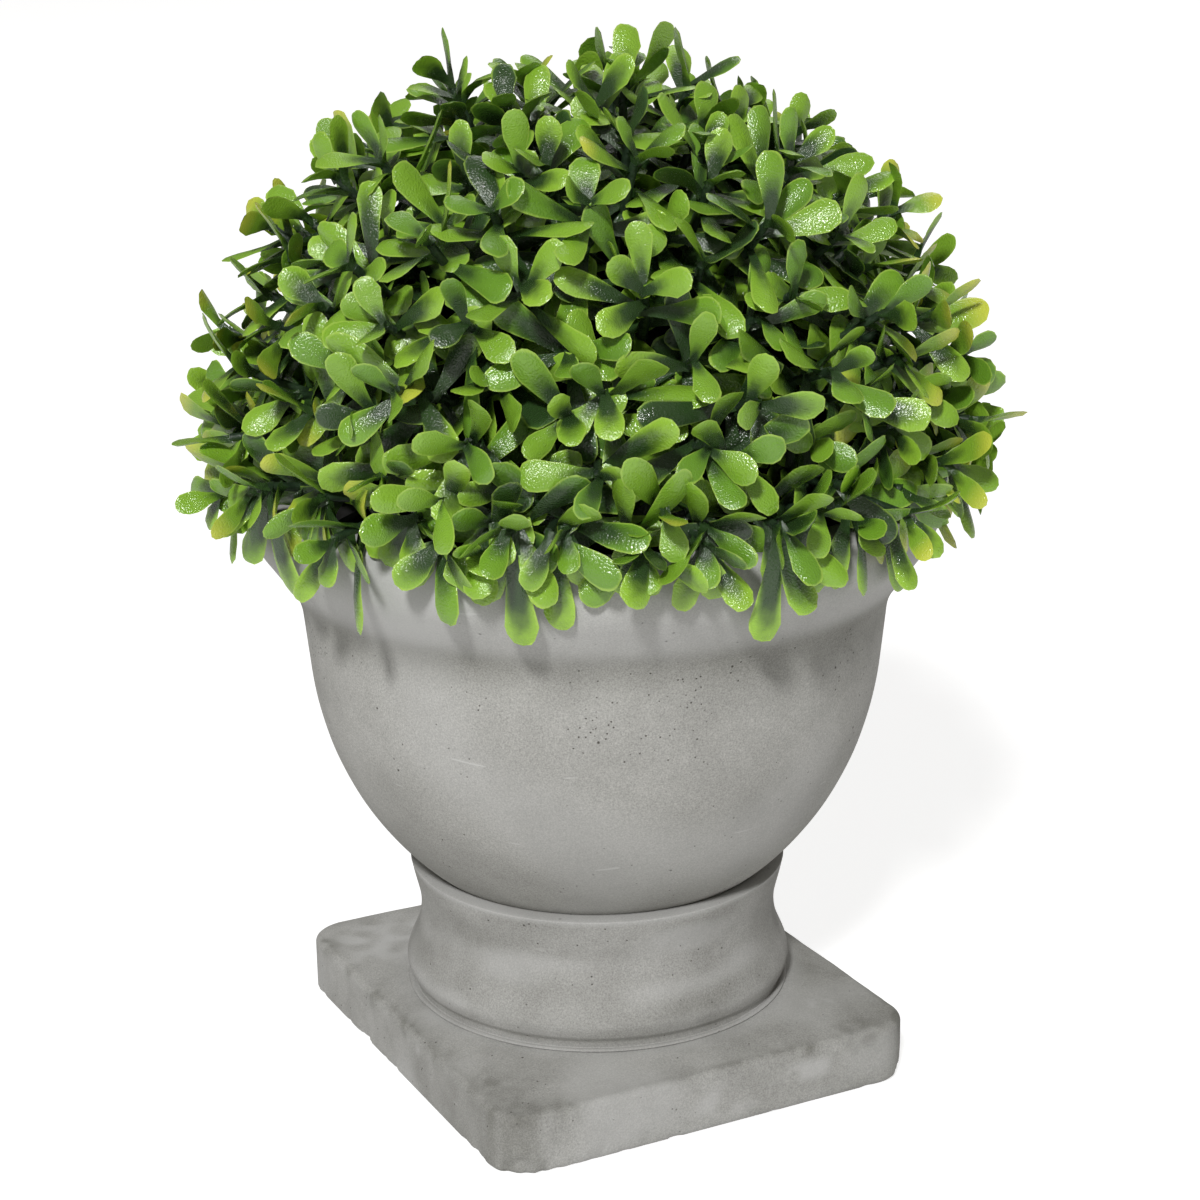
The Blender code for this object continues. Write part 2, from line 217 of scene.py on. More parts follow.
def relief(tree, height, strength, distance):
    """The normal that a height gives."""
    inputs = {"Height": height, "Strength": strength, "Distance": distance}
    return add_node(tree, "ShaderNodeBump", inputs).outputs["Normal"]


def cement_skin():
    """Colour, roughness and relief of bare cement, from the place on the object."""
    tree, given, made = new_group(
        "cement skin",
        "ShaderNodeTree",
        [
            ("Place", "Vector", (0.0, 0.0, 0.0)),
            ("Grey", "Color", (0.4, 0.4, 0.37, 1.0)),
            ("Cloud Grey", "Color", (0.3, 0.3, 0.28, 1.0)),
            ("Clouds", "Float", 0.5),
            ("Cloud Scale", "Float", 40.0),
            ("Pinholes", "Float", 0.5),
            ("Pores", "Float", 0.0),
            ("Scratches", "Float", 0.3),
            ("Grain", "Float", 0.5),
        ],
        [("Color", "Color"), ("Roughness", "Float"), ("Height", "Float")],
    )
    place = given["Place"]
    clouds = noise_at(tree, place, given["Cloud Scale"], detail=6.0, roughness=0.66)
    cloud_share = worked_out(tree, "MULTIPLY", ranged(tree, clouds, 0.36, 0.70), given["Clouds"])
    clouded = mixed(tree, cloud_share, given["Grey"], given["Cloud Grey"])

    grain = noise_at(tree, place, 3400.0, roughness=0.75)
    grain_lift = ranged(tree, grain, 0.3, 0.7, -1.0, shape="LINEAR")
    grain_share = worked_out(tree, "MULTIPLY_ADD", grain_lift, given["Grain"], 1.0)
    grained = add_node(tree, "ShaderNodeVectorMath", {0: clouded, "Scale": grain_share}, operation="SCALE")

    clusters = ranged(tree, noise_at(tree, place, 95.0), 0.42, 0.66, 0.08)

    def dots(scale, inner, outer, amount):
        """A mask of round dots, one in some of the cells of a pattern, more where the clusters are thick."""
        cells_in = {"Vector": place, "Scale": scale}
        cells = add_node(tree, "ShaderNodeTexVoronoi", cells_in, feature="F1").outputs
        draw = add_node(tree, "ShaderNodeSeparateColor", {"Color": cells["Color"]}).outputs["Red"]
        here = worked_out(tree, "LESS_THAN", draw, worked_out(tree, "MULTIPLY", clusters, given[amount]))
        return worked_out(tree, "MULTIPLY", ranged(tree, cells["Distance"], inner, outer, 1.0, 0.0), here)

    pinholes = dots(380.0, 0.05, 0.12, "Pinholes")
    pores = dots(1300.0, 0.10, 0.30, "Pores")
    holes = worked_out(tree, "MAXIMUM", pinholes, pores)
    holed = mixed(tree, holes, grained.outputs[0], (0.24, 0.23, 0.21), "MULTIPLY")

    drawn_out = mapped(tree, place, Rotation=(0.5, 0.3, 0.4), Scale=(1.0, 1.0, 9.0))
    lines = noise_at(tree, drawn_out, 75.0, detail=1.0, distortion=0.9)
    scratch_share = worked_out(tree, "MULTIPLY", ranged(tree, lines, 0.76, 0.80), given["Scratches"])
    look = {
        "Color": mixed(tree, scratch_share, holed, (0.62, 0.62, 0.6)),
        "Roughness": ranged(tree, grain, 0.0, 1.0, 0.72, 0.9, shape="LINEAR"),
        "Height": worked_out(tree, "MULTIPLY_ADD", holes, -3.0, grain),
    }
    fill_in(tree, made, look)
    return tree


cement_group = cement_skin()


def cement_material(name, grey, cloud_grey, mix):
    """A cement finish; it darkens where the mesh's mask holds stains and painted shade, pales where it holds
    lime and painted light, and pits where its mask says so.
    """
    material, tree, shader = new_material(name)

    def mask(kept_name):
        return add_node(tree, "ShaderNodeAttribute", attribute_name=kept_name).outputs["Fac"]

    inputs = {
        "Place": add_node(tree, "ShaderNodeTexCoord").outputs["Object"],
        "Grey": (*grey, 1.0),
        "Cloud Grey": (*cloud_grey, 1.0),
        "Pores": mask("pits"),
        **mix,
    }
    skin = add_node(tree, "ShaderNodeGroup", inputs, node_tree=cement_group).outputs
    # Darker where the mesh's mask says: stains, and painted shade in the bowl's cove, under its belly and at
    # the plinth's right end
    stained_and_shaded = mixed(tree, mask("stain_and_shade"), skin["Color"], (0.5, 0.5, 0.47), "MULTIPLY")
    look = {
        # Paler where the mesh's mask says: lime and smears, and painted light on the bowl's flare and the
        # collar's top edge
        "Base Color": mixed(tree, mask("lime_and_light"), stained_and_shaded, (0.60, 0.60, 0.59)),
        "Roughness": skin["Roughness"],
        "Specular IOR Level": 0.3,
        "Normal": relief(tree, skin["Height"], 0.5, 0.00006),
    }
    fill_in(tree, shader, look)
    return material


def store(mesh, name, kind, field, values):
    """Keeps one value for each point of a mesh under a name."""
    attribute = mesh.attributes.new(name, kind, "POINT")
    attribute.data.foreach_set(field, values)


def smooth_step(low, high, value):
    share = min(max((value - low) / (high - low), 0.0), 1.0)
    return share * share * (3 - 2 * share)


def ripple(place, scale, shift):
    """Smooth noise at a place, about -0.6 to 0.6; the shift picks another pattern."""
    return noise.noise(place * scale + Vector((shift, 2.7 * shift, -shift)))


def keep_cement_masks(piece, stain_and_shade, lime_and_light, pits):
    """Keeps how stained or darkened by painted shade, how limy or paled by painted light, and how pitted the
    cement is at each point, as masks from 0 to 1.
    """
    for name, mask in (("stain_and_shade", stain_and_shade), ("lime_and_light", lime_and_light), ("pits", pits)):
        values = [min(max(mask(vert.co), 0.0), 1.0) for vert in piece.data.vertices]
        store(piece.data, name, "FLOAT", "value", values)


# The bowl: cast in a two-part mould, round and smooth, with a soft cove under a flared and rolled lip.
# It is hollow, its wall about 6 mm thick, and its foot is set into the collar.
bowl_low, bowl_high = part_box("bowl")
rim_z = bowl_high.z
foot_z = bowl_low.z
belly_radius = 0.0518
belly_depth = 0.0564
belly_z = 0.0818
taper_start = belly_z - 0.0058
taper_slope = 0.10
crease_z = 0.0889
cove_radius = 0.0120
flare_slope = 0.73
flare_end = rim_z - 0.0115
lip_radius = 0.0113
lip_edge = 0.0015
wall = 0.0065
unevenness = 0.00010


def bowl_outside():
    """The bowl's outer wall, foot to lip: part of an ellipse, a taper, a cove, a flare and a roll."""
    points = []
    foot_turn = math.acos((belly_z - foot_z) / belly_depth)
    taper_turn = math.acos((belly_z - taper_start) / belly_depth)
    arc_points = 44
    for k in range(arc_points):
        turn = foot_turn + (taper_turn - foot_turn) * k / (arc_points - 1)
        points.append((belly_radius * math.sin(turn), belly_z - belly_depth * math.cos(turn)))

    def go_straight(slope, height, count):
        """Goes on up to a height on a straight slope."""
        start_radius, start_height = points[-1]
        for k in range(1, count):
            up = (height - start_height) * k / count
            points.append((start_radius + slope * up, start_height + up))
        return start_radius + slope * (height - start_height)

    first_lean = math.atan(taper_slope)
    last_lean = math.atan(flare_slope)
    cove_start = crease_z - cove_radius * math.tan((last_lean - first_lean) / 2) * math.cos(first_lean)
    radius = go_straight(taper_slope, cove_start, 8)
    cove_points = 14
    for k in range(cove_points):
        lean = first_lean + (last_lean - first_lean) * k / (cove_points - 1)
        out = cove_radius * (math.cos(first_lean) - math.cos(lean))
        up = cove_radius * (math.sin(lean) - math.sin(first_lean))
        points.append((radius + out, cove_start + up))
    radius = go_straight(flare_slope, flare_end, 6)
    top_lean = math.asin(math.sin(last_lean) - (rim_z - lip_edge / 2 - flare_end) / lip_radius)
    lip_points = 18
    for k in range(lip_points):
        lean = last_lean + (top_lean - last_lean) * k / (lip_points - 1)
        out = lip_radius * (math.cos(lean) - math.cos(last_lean))
        up = lip_radius * (math.sin(last_lean) - math.sin(lean))
        points.append((radius + out, flare_end + up))
    return points


def shifted_inwards(points, distance):
    """The same line moved sideways by a distance, towards the axis side."""
    moved = []
    for k, (radius, height) in enumerate(points):
        before = points[max(k - 1, 0)]
        after = points[min(k + 1, len(points) - 1)]
        along = Vector((after[0] - before[0], after[1] - before[1])).normalized()
        moved.append((max(radius - distance * along.y, 0.0), height + distance * along.x))
    return moved


def smooth_mesh(bm, name):
    """The mesh that a finished bmesh makes, shaded smooth, with its faces turned outwards."""
    bmesh.ops.recalc_face_normals(bm, faces=bm.faces)
    for face in bm.faces:
        face.smooth = True
    mesh = bpy.data.meshes.new(name)
    bm.to_mesh(mesh)
    bm.free()
    return mesh


def ringed(name, rings):
    """A closed piece from rings of places; the first ring and the last are a single place."""
    bm = bmesh.new()
    loops = [[bm.verts.new(place) for place in ring] for ring in rings]
    for lower, upper in zip(loops, loops[1:]):
        turns = max(len(lower), len(upper))
        for k in range(turns):
            after = (k + 1) % turns
            if len(lower) == 1:
                bm.faces.new((lower[0], upper[after], upper[k]))
            elif len(upper) == 1:
                bm.faces.new((lower[k], lower[after], upper[0]))
            else:
                bm.faces.new((lower[k], lower[after], upper[after], upper[k]))
    return scene_object(name, smooth_mesh(bm, name))


def spun(name, profile, turns):
    """A piece turned about Z from a profile that runs up the outside and ends on the axis at both ends.

    The wall wanders in and out a little, as a hand-finished cast does."""
    rings = []
    for radius, height in profile:
        if radius < 1e-6:
            rings.append([(0.0, 0.0, height)])
            continue
        ring = []
        for k in range(turns):
            angle = math.tau * k / turns
            flat = Vector((math.cos(angle), math.sin(angle), 0.0))
            place = flat * radius + Vector((0.0, 0.0, height))
            wander = noise.noise(place * 45.0) + 0.4 * noise.noise(place * 160.0)
            ring.append(place + flat * wander * unevenness)
        rings.append(ring)
    return ringed(name, rings)


def make_bowl():
    """One closed profile: the outside, the lip's round outer and inner edges, and the inside."""
    outside = bowl_outside()
    edge_radius = outside[-1][0]
    profile = [(0.0, foot_z)] + outside[:-1]
    for k in range(7):
        turn = math.pi / 2 * k / 6
        radius = edge_radius - lip_edge + lip_edge * math.cos(turn) * 0.7
        profile.append((radius, rim_z - lip_edge * (1 - math.sin(turn)) * 0.5))
    for k in range(6):
        turn = math.pi / 2 * k / 5
        radius = edge_radius - wall + lip_edge * (1 - math.sin(turn))
        profile.append((radius, rim_z - lip_edge * (1 - math.cos(turn))))
    inside = [p for p in shifted_inwards(outside, wall) if p[1] < rim_z - 2 * lip_edge]
    return spun("urn_bowl", profile + inside[::-1] + [(0.0, inside[0][1])], 256)


# The dark band in the cove under the lip: painted shade in the hollow, with some dirt
cove_dark_z = crease_z + 0.0014
cove_dark_above = 0.0036
cove_dark_below = 0.0058


def near_crease(place):
    """How near a point of the bowl's outside is to the dark band in the cove under the lip, painted shade
    with some dirt; it reaches further down than up.
    """
    up = place.z - cove_dark_z
    return math.exp(-((up / (cove_dark_above if up > 0 else cove_dark_below)) ** 2))


def below_crease(place):
    """How near a point is to the pitted belt that reaches from the cove some way down the belly."""
    return smooth_step(0.0930, 0.0890, place.z) * smooth_step(0.0700, 0.0830, place.z)


def bowl_dirt_and_shade(place):
    """Painted shade with some dirt in the cove, painted shade under the belly towards the foot, and faint
    blotches.
    """
    # The cove: painted shade with some dirt
    cove = near_crease(place) * (0.58 + 0.3 * ripple(place, 60.0, 3.0))
    # Painted shade under the bulging belly, darker towards the foot
    low = 0.22 * smooth_step(0.074, 0.058, place.z) + 0.34 * smooth_step(0.056, 0.040, place.z)
    return cove + low + 0.12 * ripple(place, 45.0, 8.0)


def bowl_lime_and_light(place):
    """A paler flare, painted light where the lamp falls on it, and a few pale clouds on the belly."""
    clouds = smooth_step(0.15, 0.6, ripple(place, 30.0, 5.0))
    # The pale flare is painted light; the pale clouds are the cement's own
    return 0.42 * smooth_step(0.0895, 0.0945, place.z) + 0.3 * clouds


def bowl_pits(place):
    """Most of the small holes sit in the belt below the cove."""
    return 0.05 + 0.8 * below_crease(place) * smooth_step(-0.25, 0.35, ripple(place, 50.0, 1.0))


bowl = make_bowl()
keep_cement_masks(bowl, stain_and_shade=bowl_dirt_and_shade, lime_and_light=bowl_lime_and_light, pits=bowl_pits)
bowl_mix = {"Clouds": 1.0, "Cloud Scale": 50.0, "Pinholes": 0.34, "Scratches": 0.8, "Grain": 0.26}
bowl_cement = cement_material("bowl cement", (0.486, 0.482, 0.458), (0.404, 0.400, 0.378), bowl_mix)
bowl.data.materials.append(bowl_cement)
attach(bowl, "root")
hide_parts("bowl")


# The collar: a low waisted ring between bowl and plinth, cast with the plinth and smoothed by hand.
# A thin bead of cement runs round its foot, where the mould's halves met.
collar_low, collar_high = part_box("collar")
plinth_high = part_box("plinth")[1]

# The ring's side: radius, and height as a share of the ring's own
collar_shape = (
    (0.0343, 0.0),
    (0.0345, 0.05),
    (0.0353, 0.1),
    (0.0357, 0.2),
    (0.0335, 0.45),
    (0.0329, 0.68),
    (0.0342, 0.95),
    (0.0346, 1.03),
)
bead_radius = 0.0350
bead_half = 0.00055
bead_height = 0.00034
bowl_gap = 0.00005


def hermite(before, start, end, after, share):
    """Radius on a smooth curve through four (radius, height) points, between the middle two."""
    step = end[1] - start[1]
    slope_in = (end[0] - before[0]) / (end[1] - before[1]) * step
    slope_out = (after[0] - start[0]) / (after[1] - start[1]) * step
    s2 = share * share
    s3 = s2 * share
    ends = (2 * s3 - 3 * s2 + 1) * start[0] + (3 * s2 - 2 * s3) * end[0]
    return ends + (s3 - 2 * s2 + share) * slope_in + (s3 - s2) * slope_out


def make_collar():
    """The ring with a soft bead round its foot and a thin rounded top that closes on the bowl."""
    span = collar_high.z - collar_low.z
    steps = 10
    underside = plinth_high.z + 0.00003
    profile = [(0.0, underside)]
    for k in range(8):
        turn = math.pi * k / 8
        profile.append((bead_radius + bead_half * math.cos(turn), underside + bead_height * math.sin(turn)))
    for k in range(len(collar_shape) - 1):
        before = collar_shape[max(k - 1, 0)]
        start = collar_shape[k]
        end = collar_shape[k + 1]
        after = collar_shape[min(k + 2, len(collar_shape) - 1)]
        for j in range(steps):
            share = j / steps
            height = start[1] + (end[1] - start[1]) * share
            profile.append((hermite(before, start, end, after, share), collar_low.z + height * span))
    top_radius, top_share = collar_shape[-1]
    round_start = collar_low.z + top_share * span
    seat = [p for p in shifted_inwards(bowl_outside(), -bowl_gap) if p[1] < round_start + 0.0010]
    seat_radius, seat_height = seat[-1]
    for k in range(steps):
        turn = math.pi / 2 * k / steps
        radius = seat_radius + (top_radius - seat_radius) * math.cos(turn)
        profile.append((radius, round_start + (seat_height - round_start) * math.sin(turn)))
    return spun("urn_collar", profile + seat[::-1] + [(0.0, seat[0][1])], 240)


def near_bead(place):
    """How near a point is to the bead round the collar's foot."""
    off = Vector((math.hypot(place.x, place.y) - bead_radius, place.z - plinth_high.z))
    return math.exp(-((off.length / 0.0007) ** 2))


def near_top(place):
    """How near a point is to the thin edge right under the bowl, painted pale as a highlight on its rounded
    top.
    """
    return smooth_step(0.0016, 0.0, abs(place.z - collar_high.z - 0.0010))


def smear(place, shift):
    """Noise drawn out round the axis, as a wiping hand leaves it."""
    return ripple(Vector((place.x, place.y, place.z * 4.0)), 50.0, shift)


def collar_damp(place):
    """Smears left by the hand that smoothed it, and faint blotches."""
    return 0.10 + 0.46 * smear(place, 2.0) + 0.16 * smooth_step(0.0, 0.5, ripple(place, 120.0, 4.0))


def collar_lime_and_light(place):
    """Pale along the bead and in some of the smears, and a painted highlight along the top edge."""
    # The top edge's pale line is a painted highlight
    return 0.4 * near_bead(place) + 0.4 * smooth_step(0.0, 0.6, smear(place, 9.0)) + 0.45 * near_top(place)


collar = make_collar()
for vert in collar.data.vertices:
    flattened = smooth_step(-0.1, 0.5, ripple(vert.co, 40.0, 3.0)) * near_bead(vert.co)
    vert.co.z -= (vert.co.z - plinth_high.z) * 0.7 * flattened
keep_cement_masks(collar, stain_and_shade=collar_damp, lime_and_light=collar_lime_and_light, pits=lambda place: 0.07)
collar_mix = {"Clouds": 0.8, "Cloud Scale": 95.0, "Pinholes": 0.14, "Scratches": 0.3, "Grain": 0.24}
collar_cement = cement_material("collar cement", (0.43, 0.427, 0.408), (0.345, 0.341, 0.322), collar_mix)
collar.data.materials.append(collar_cement)
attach(collar, "root")
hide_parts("collar")


# The plinth: an oblong slab, cast flat and struck off by hand, so its top rises gently to the collar.
# Its corners are rounded, its edges worn and chipped, and damp has left dark stains along them.
plinth_half_x = plinth_high.x
plinth_half_y = plinth_high.y
plinth_corner = 0.0075
plinth_edge_z = 0.0114
plinth_top_z = plinth_high.z - 0.0001
plinth_joint_radius = 0.0346
plinth_around = 540
edge_wear = 0.0013
foot_round = 0.0012
rough_depth = 0.00009
worn_depth = 0.00012
ragged_depth = 0.0004

# Where damp has darkened the slab's upper edge (x, y, reach), where it was rubbed pale (x, y, z, reach),
# and where it is chipped (x, y, z, reach, depth)
damp_spots = (
    (-0.0410, 0.0360, 0.0055),
    (-0.0412, 0.0240, 0.0030),
    (-0.0408, 0.0118, 0.0050),
    (-0.0405, -0.0040, 0.0042),
    (-0.0400, -0.0180, 0.0045),
    (-0.0380, -0.0320, 0.0060),
    (-0.0290, -0.0440, 0.0050),
    (0.0180, -0.0450, 0.0040),
    (0.0300, -0.0455, 0.0090),
    (0.0395, -0.0430, 0.0060),
    (0.0410, 0.0200, 0.0060),
    (-0.0100, 0.0445, 0.0070),
)
lime_spots = (
    (0.0190, -0.0455, 0.0070, 0.0070),
    (0.0020, -0.0455, 0.0050, 0.0100),
    (0.0290, -0.0330, 0.0118, 0.0035),
    (-0.0300, 0.0320, 0.0118, 0.0160),
    (-0.0415, -0.0080, 0.0095, 0.0040),
    (0.0415, 0.0100, 0.0060, 0.0080),
    (-0.0050, 0.0455, 0.0060, 0.0080),
)
chips = (
    (-0.0400, -0.0455, 0.0000, 0.0050, 0.0012),
    (-0.0330, -0.0455, 0.0000, 0.0030, 0.0007),
    (-0.0415, 0.0160, 0.0000, 0.0034, 0.0006),
    (-0.0415, -0.0350, 0.0000, 0.0030, 0.0005),
    (0.0405, -0.0440, 0.0000, 0.0034, 0.0009),
    (0.0415, 0.0300, 0.0110, 0.0026, 0.0006),
    (0.0120, 0.0455, 0.0110, 0.0028, 0.0006),
)


def rounded_outline(inset):
    """Points round the slab's outline, the given distance inside it."""
    half_x = plinth_half_x - inset
    half_y = plinth_half_y - inset
    corner = max(plinth_corner - inset, 0.0012)
    arc = math.pi / 2 * corner
    lengths = [2 * (half_y - corner), arc, 2 * (half_x - corner), arc] * 2
    points = []
    for k in range(plinth_around):
        run = sum(lengths) * k / plinth_around
        side = 0
        while run > lengths[side]:
            run -= lengths[side]
            side += 1
        quarter = side // 2
        reach_x, reach_y = (half_x, half_y) if quarter % 2 == 0 else (half_y, half_x)
        if side % 2 == 0:
            place = Vector((reach_x, -(reach_y - corner) + run))
        else:
            bend = run / corner
            centre = Vector((reach_x - corner, reach_y - corner))
            place = centre + Vector((math.cos(bend), math.sin(bend))) * corner
        points.append(Matrix.Rotation(quarter * math.pi / 2, 2) @ place)
    return points


def worn_place(flat, rim, inset, height):
    """A point of the plain slab moved to where the striking off, the wear and the chips have left it."""
    place = Vector((flat.x, flat.y, height))
    on_top = smooth_step(plinth_edge_z - 0.0025, plinth_edge_z, height)
    rise = smooth_step(0.0, 1.0, (rim.length - flat.length) / (rim.length - plinth_joint_radius))
    place.z += on_top * rise * (plinth_top_z - plinth_edge_z)
    near_edge = smooth_step(0.007, 0.0, inset) * smooth_step(0.0, 0.004, height)
    rough = ripple(place, 90.0, 0.0) + 0.5 * ripple(place, 260.0, 3.0)
    worn = smooth_step(0.12, 0.6, ripple(place, 150.0, 7.0)) * near_edge
    ragged = smooth_step(0.004, 0.0, height) * smooth_step(0.003, 0.0, inset)
    push = rough * rough_depth * smooth_step(0.0, 0.003, height) - worn * worn_depth
    push -= ragged * ragged_depth * smooth_step(0.1, 0.5, ripple(place, 300.0, 2.0))
    for x, y, z, reach, depth in chips:
        gone = smooth_step(reach, reach * 0.55, (place - Vector((x, y, z))).length)
        push -= gone * depth * (0.8 + 0.8 * ripple(place, 500.0, 6.0))
    place += Vector((rim.x, rim.y, 0.0)).normalized() * push
    place.z = max(place.z + (rough * rough_depth - worn * worn_depth) * on_top, 0.0)
    return place


def make_plinth():
    """The slab as rings of points: underside, lower edge, side, worn upper edge and domed top."""
    steps = [(0.0420, 0.0), (0.028, 0.0), (0.014, 0.0), (0.0014, 0.0), (0.0007, 0.0002), (0.0002, 0.0007)]
    side_steps = 12
    for k in range(side_steps + 1):
        steps.append((0.0, foot_round + (plinth_edge_z - edge_wear - foot_round) * k / side_steps))
    for k in range(1, 9):
        turn = math.pi / 2 * k / 8
        steps.append((edge_wear * (1 - math.cos(turn)), plinth_edge_z - edge_wear * (1 - math.sin(turn))))
    top_steps = 36
    inner = 0.0300
    for k in range(1, top_steps + 1):
        steps.append((edge_wear + (inner - edge_wear) * k / top_steps, plinth_edge_z))
    outer = rounded_outline(0.0)
    rings = [[(0.0, 0.0, 0.0)]]
    for inset, height in steps:
        outline = rounded_outline(inset)
        rings.append([worn_place(flat, rim, inset, height) for flat, rim in zip(outline, outer)])
    rings.append([(0.0, 0.0, plinth_top_z)])
    return ringed("urn_plinth", rings)


def plinth_stain_and_shade(place):
    """A thin dark line along the upper edges, spots on it, streaks down the front corner, blotches, and
    painted shade towards the right end.
    """
    fine = smooth_step(-0.25, 0.35, ripple(place, 420.0, 1.0))
    spots = 0.0
    for x, y, reach in damp_spots:
        off = Vector((place.x - x, place.y - y, place.z - plinth_edge_z))
        spots = max(spots, smooth_step(reach, 0.0, off.length))
    beside = max(abs(place.x) - plinth_half_x, abs(place.y) - plinth_half_y)
    rim = math.exp(-(((beside + 0.0010) / 0.0008) ** 2)) * smooth_step(0.0085, 0.0108, place.z)
    rim *= smooth_step(-0.35, 0.25, ripple(place, 70.0, 11.0))
    to_corner = math.hypot(place.x + plinth_half_x - 0.003, place.y + plinth_half_y - 0.003)
    upright = Vector((place.x, place.y, place.z * 0.15))
    streaks = smooth_step(0.0100, 0.003, to_corner) * smooth_step(-0.4, 0.5, ripple(upright, 420.0, 4.0))
    damp_side = smooth_step(0.035, 0.012, to_corner) * smooth_step(-0.0010, 0.0, -place.x - plinth_half_x)
    blotch = smooth_step(-0.1, 0.5, ripple(place, 70.0, 5.0))
    # Painted shade: the slab darker towards the right end, away from the lamp
    far_end = smooth_step(0.016, 0.038, place.x)
    lines = (0.65 * spots + 0.4 * rim) * (0.3 + 0.7 * fine)
    return lines + 0.36 * streaks + 0.3 * damp_side + 0.25 * blotch + 0.42 * far_end


def plinth_lime(place):
    """Pale patches where the slab was rubbed, over faint paler clouds."""
    rubbed = 0.0
    for x, y, z, reach in lime_spots:
        off = Vector((place.x - x, place.y - y, (place.z - z) * 2.2))
        rubbed = max(rubbed, smooth_step(reach, reach * 0.3, off.length))
    rubbed *= smooth_step(-0.3, 0.3, ripple(place, 260.0, 8.0))
    by_collar = smooth_step(0.0400, 0.0360, math.hypot(place.x, place.y))
    by_collar *= smooth_step(0.0100, 0.0112, place.z)
    return 0.5 * rubbed + 0.25 * by_collar + 0.36 * smooth_step(0.0, 0.5, ripple(place, 60.0, 6.0))


plinth = make_plinth()
keep_cement_masks(plinth, stain_and_shade=plinth_stain_and_shade, lime_and_light=plinth_lime, pits=lambda place: 0.04)
plinth_mix = {"Clouds": 0.8, "Cloud Scale": 100.0, "Pinholes": 0.10, "Scratches": 0.4, "Grain": 0.24}
plinth_cement = cement_material("plinth cement", (0.455, 0.452, 0.432), (0.350, 0.346, 0.327), plinth_mix)
plinth.data.materials.append(plinth_cement)
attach(plinth, "root")
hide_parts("plinth")


# The filling: dark green floral foam pressed into the bowl, and the short stem that carries the ball.
# Both are hidden but for glimpses past the leaves, and keep the solids' own shape.
def colour_steps(tree, value, steps, interpolation="LINEAR"):
    """The colour that a ramp of (position, colour) steps has at a value."""
    node = add_node(tree, "ShaderNodeValToRGB", {"Fac": value})
    ramp = node.color_ramp
    ramp.interpolation = interpolation
    while len(ramp.elements) < len(steps):
        ramp.elements.new(0.5)
    for element, (position, colour) in zip(ramp.elements, steps):
        element.position = position
        element.color = (*colour, 1.0)
    return node.outputs["Color"]


def speckled_material(name, dark, light, roughness, scale):
    """A finish of dark and light specks, with a grain that follows them."""
    material, tree, shader = new_material(name)
    place = add_node(tree, "ShaderNodeTexCoord").outputs["Object"]
    cells = noise_at(tree, place, scale, detail=4.0, roughness=0.7)
    look = {
        "Base Color": colour_steps(tree, cells, ((0.35, dark), (0.7, light))),
        "Roughness": roughness,
        "Normal": relief(tree, cells, 0.8, 0.0006),
    }
    fill_in(tree, shader, look)
    return material


foam = speckled_material("floral foam", (0.006, 0.012, 0.006), (0.02, 0.04, 0.02), 0.95, 420.0)
stem_skin = speckled_material("stem skin", (0.02, 0.035, 0.02), (0.04, 0.07, 0.035), 0.6, 300.0)
for node_name, slot_name, finish in (("fill", "foam", foam), ("stem", "stalk", stem_skin)):
    solid = frame["nodes"][node_name]
    solid.data.materials.clear()
    solid.data.materials.append(finish)


# The ball of boxwood: moulded plastic sprigs pushed into a dark foam ball, all about one length,
# so that their tips make a round crown. This part lays out the sprigs, by the rule the solids follow.
crown_radius = 0.0745
crown_z = 0.113
crown_centre = Vector((0.0, 0.0, crown_z))
tip_play = 0.0036
core_radius = 0.047
core_underside = rim_z - 0.0030
lowest_tip = rim_z - 0.0150
leaf_clearance = 0.0009
twig_radius = 0.0009
twig_foot = core_radius - 0.0080
twig_end = crown_radius - 0.0112
hang_out = twig_end + 0.0011
hang_bend = 0.0022
hang_z = crown_z + 0.0010
ball_sprigs = 200
lowest_sprig = -0.04
leaf_tries = 20
seed = 7

# Leaves come in three lengths, much of a width: length, width, where along it is widest
leaf_kinds = (
    (0.0100, 0.0047, 0.71),
    (0.0140, 0.0050, 0.77),
    (0.0186, 0.0053, 0.81),
)
leaf_thickness = 0.0013

# Each pair of leaves on a sprig: place along the twig, angle from it, length
leaf_pairs = (
    (0.36, 84, 0.0150),
    (0.50, 82, 0.0175),
    (0.63, 77, 0.0186),
    (0.76, 68, 0.0174),
    (0.88, 54, 0.0146),
    (0.99, 32, 0.0112),
)

# Long leaves that hang over the lip: bearing in degrees and how far the tip is below the rim
hanging_leaves = (
    (-189, 0.0040),
    (-168, 0.0145),
    (-157, 0.0045),
    (-144, 0.0042),
    (-134, 0.0058),
    (-127, 0.0150),
    (-119, 0.0032),
    (-110, 0.0048),
    (-105, 0.0072),
    (-99, 0.0035),
    (-93, 0.0138),
    (-83, 0.0085),
    (-73, 0.0092),
    (-63, 0.0055),
    (-52, 0.0038),
)
more_hanging = 15
rim_leaves = 34
pair_drop = 0.0040

# The stalk's end, its four sides as far as the widest place, and the blade from there to the tip
blade_faces = (
    (0, 1, 2),
    (0, 3, 4, 1),
    (1, 4, 5, 2),
    (2, 5, 3, 0),
    (3, 6, 7, 4),
    (4, 7, 5),
    (5, 7, 6),
    (5, 6, 3),
)

# The urn's side from the belly up, which the leaves keep clear of
lip_line = [point for point in bowl_outside() if point[1] > belly_z]


def outside_radius_at(height):
    """The urn's outer radius at a height near its lip."""
    for lower, upper in zip(lip_line, lip_line[1:]):
        if lower[1] <= height <= upper[1]:
            share = (height - lower[1]) / (upper[1] - lower[1])
            return lower[0] + (upper[0] - lower[0]) * share
    return lip_line[-1][0]


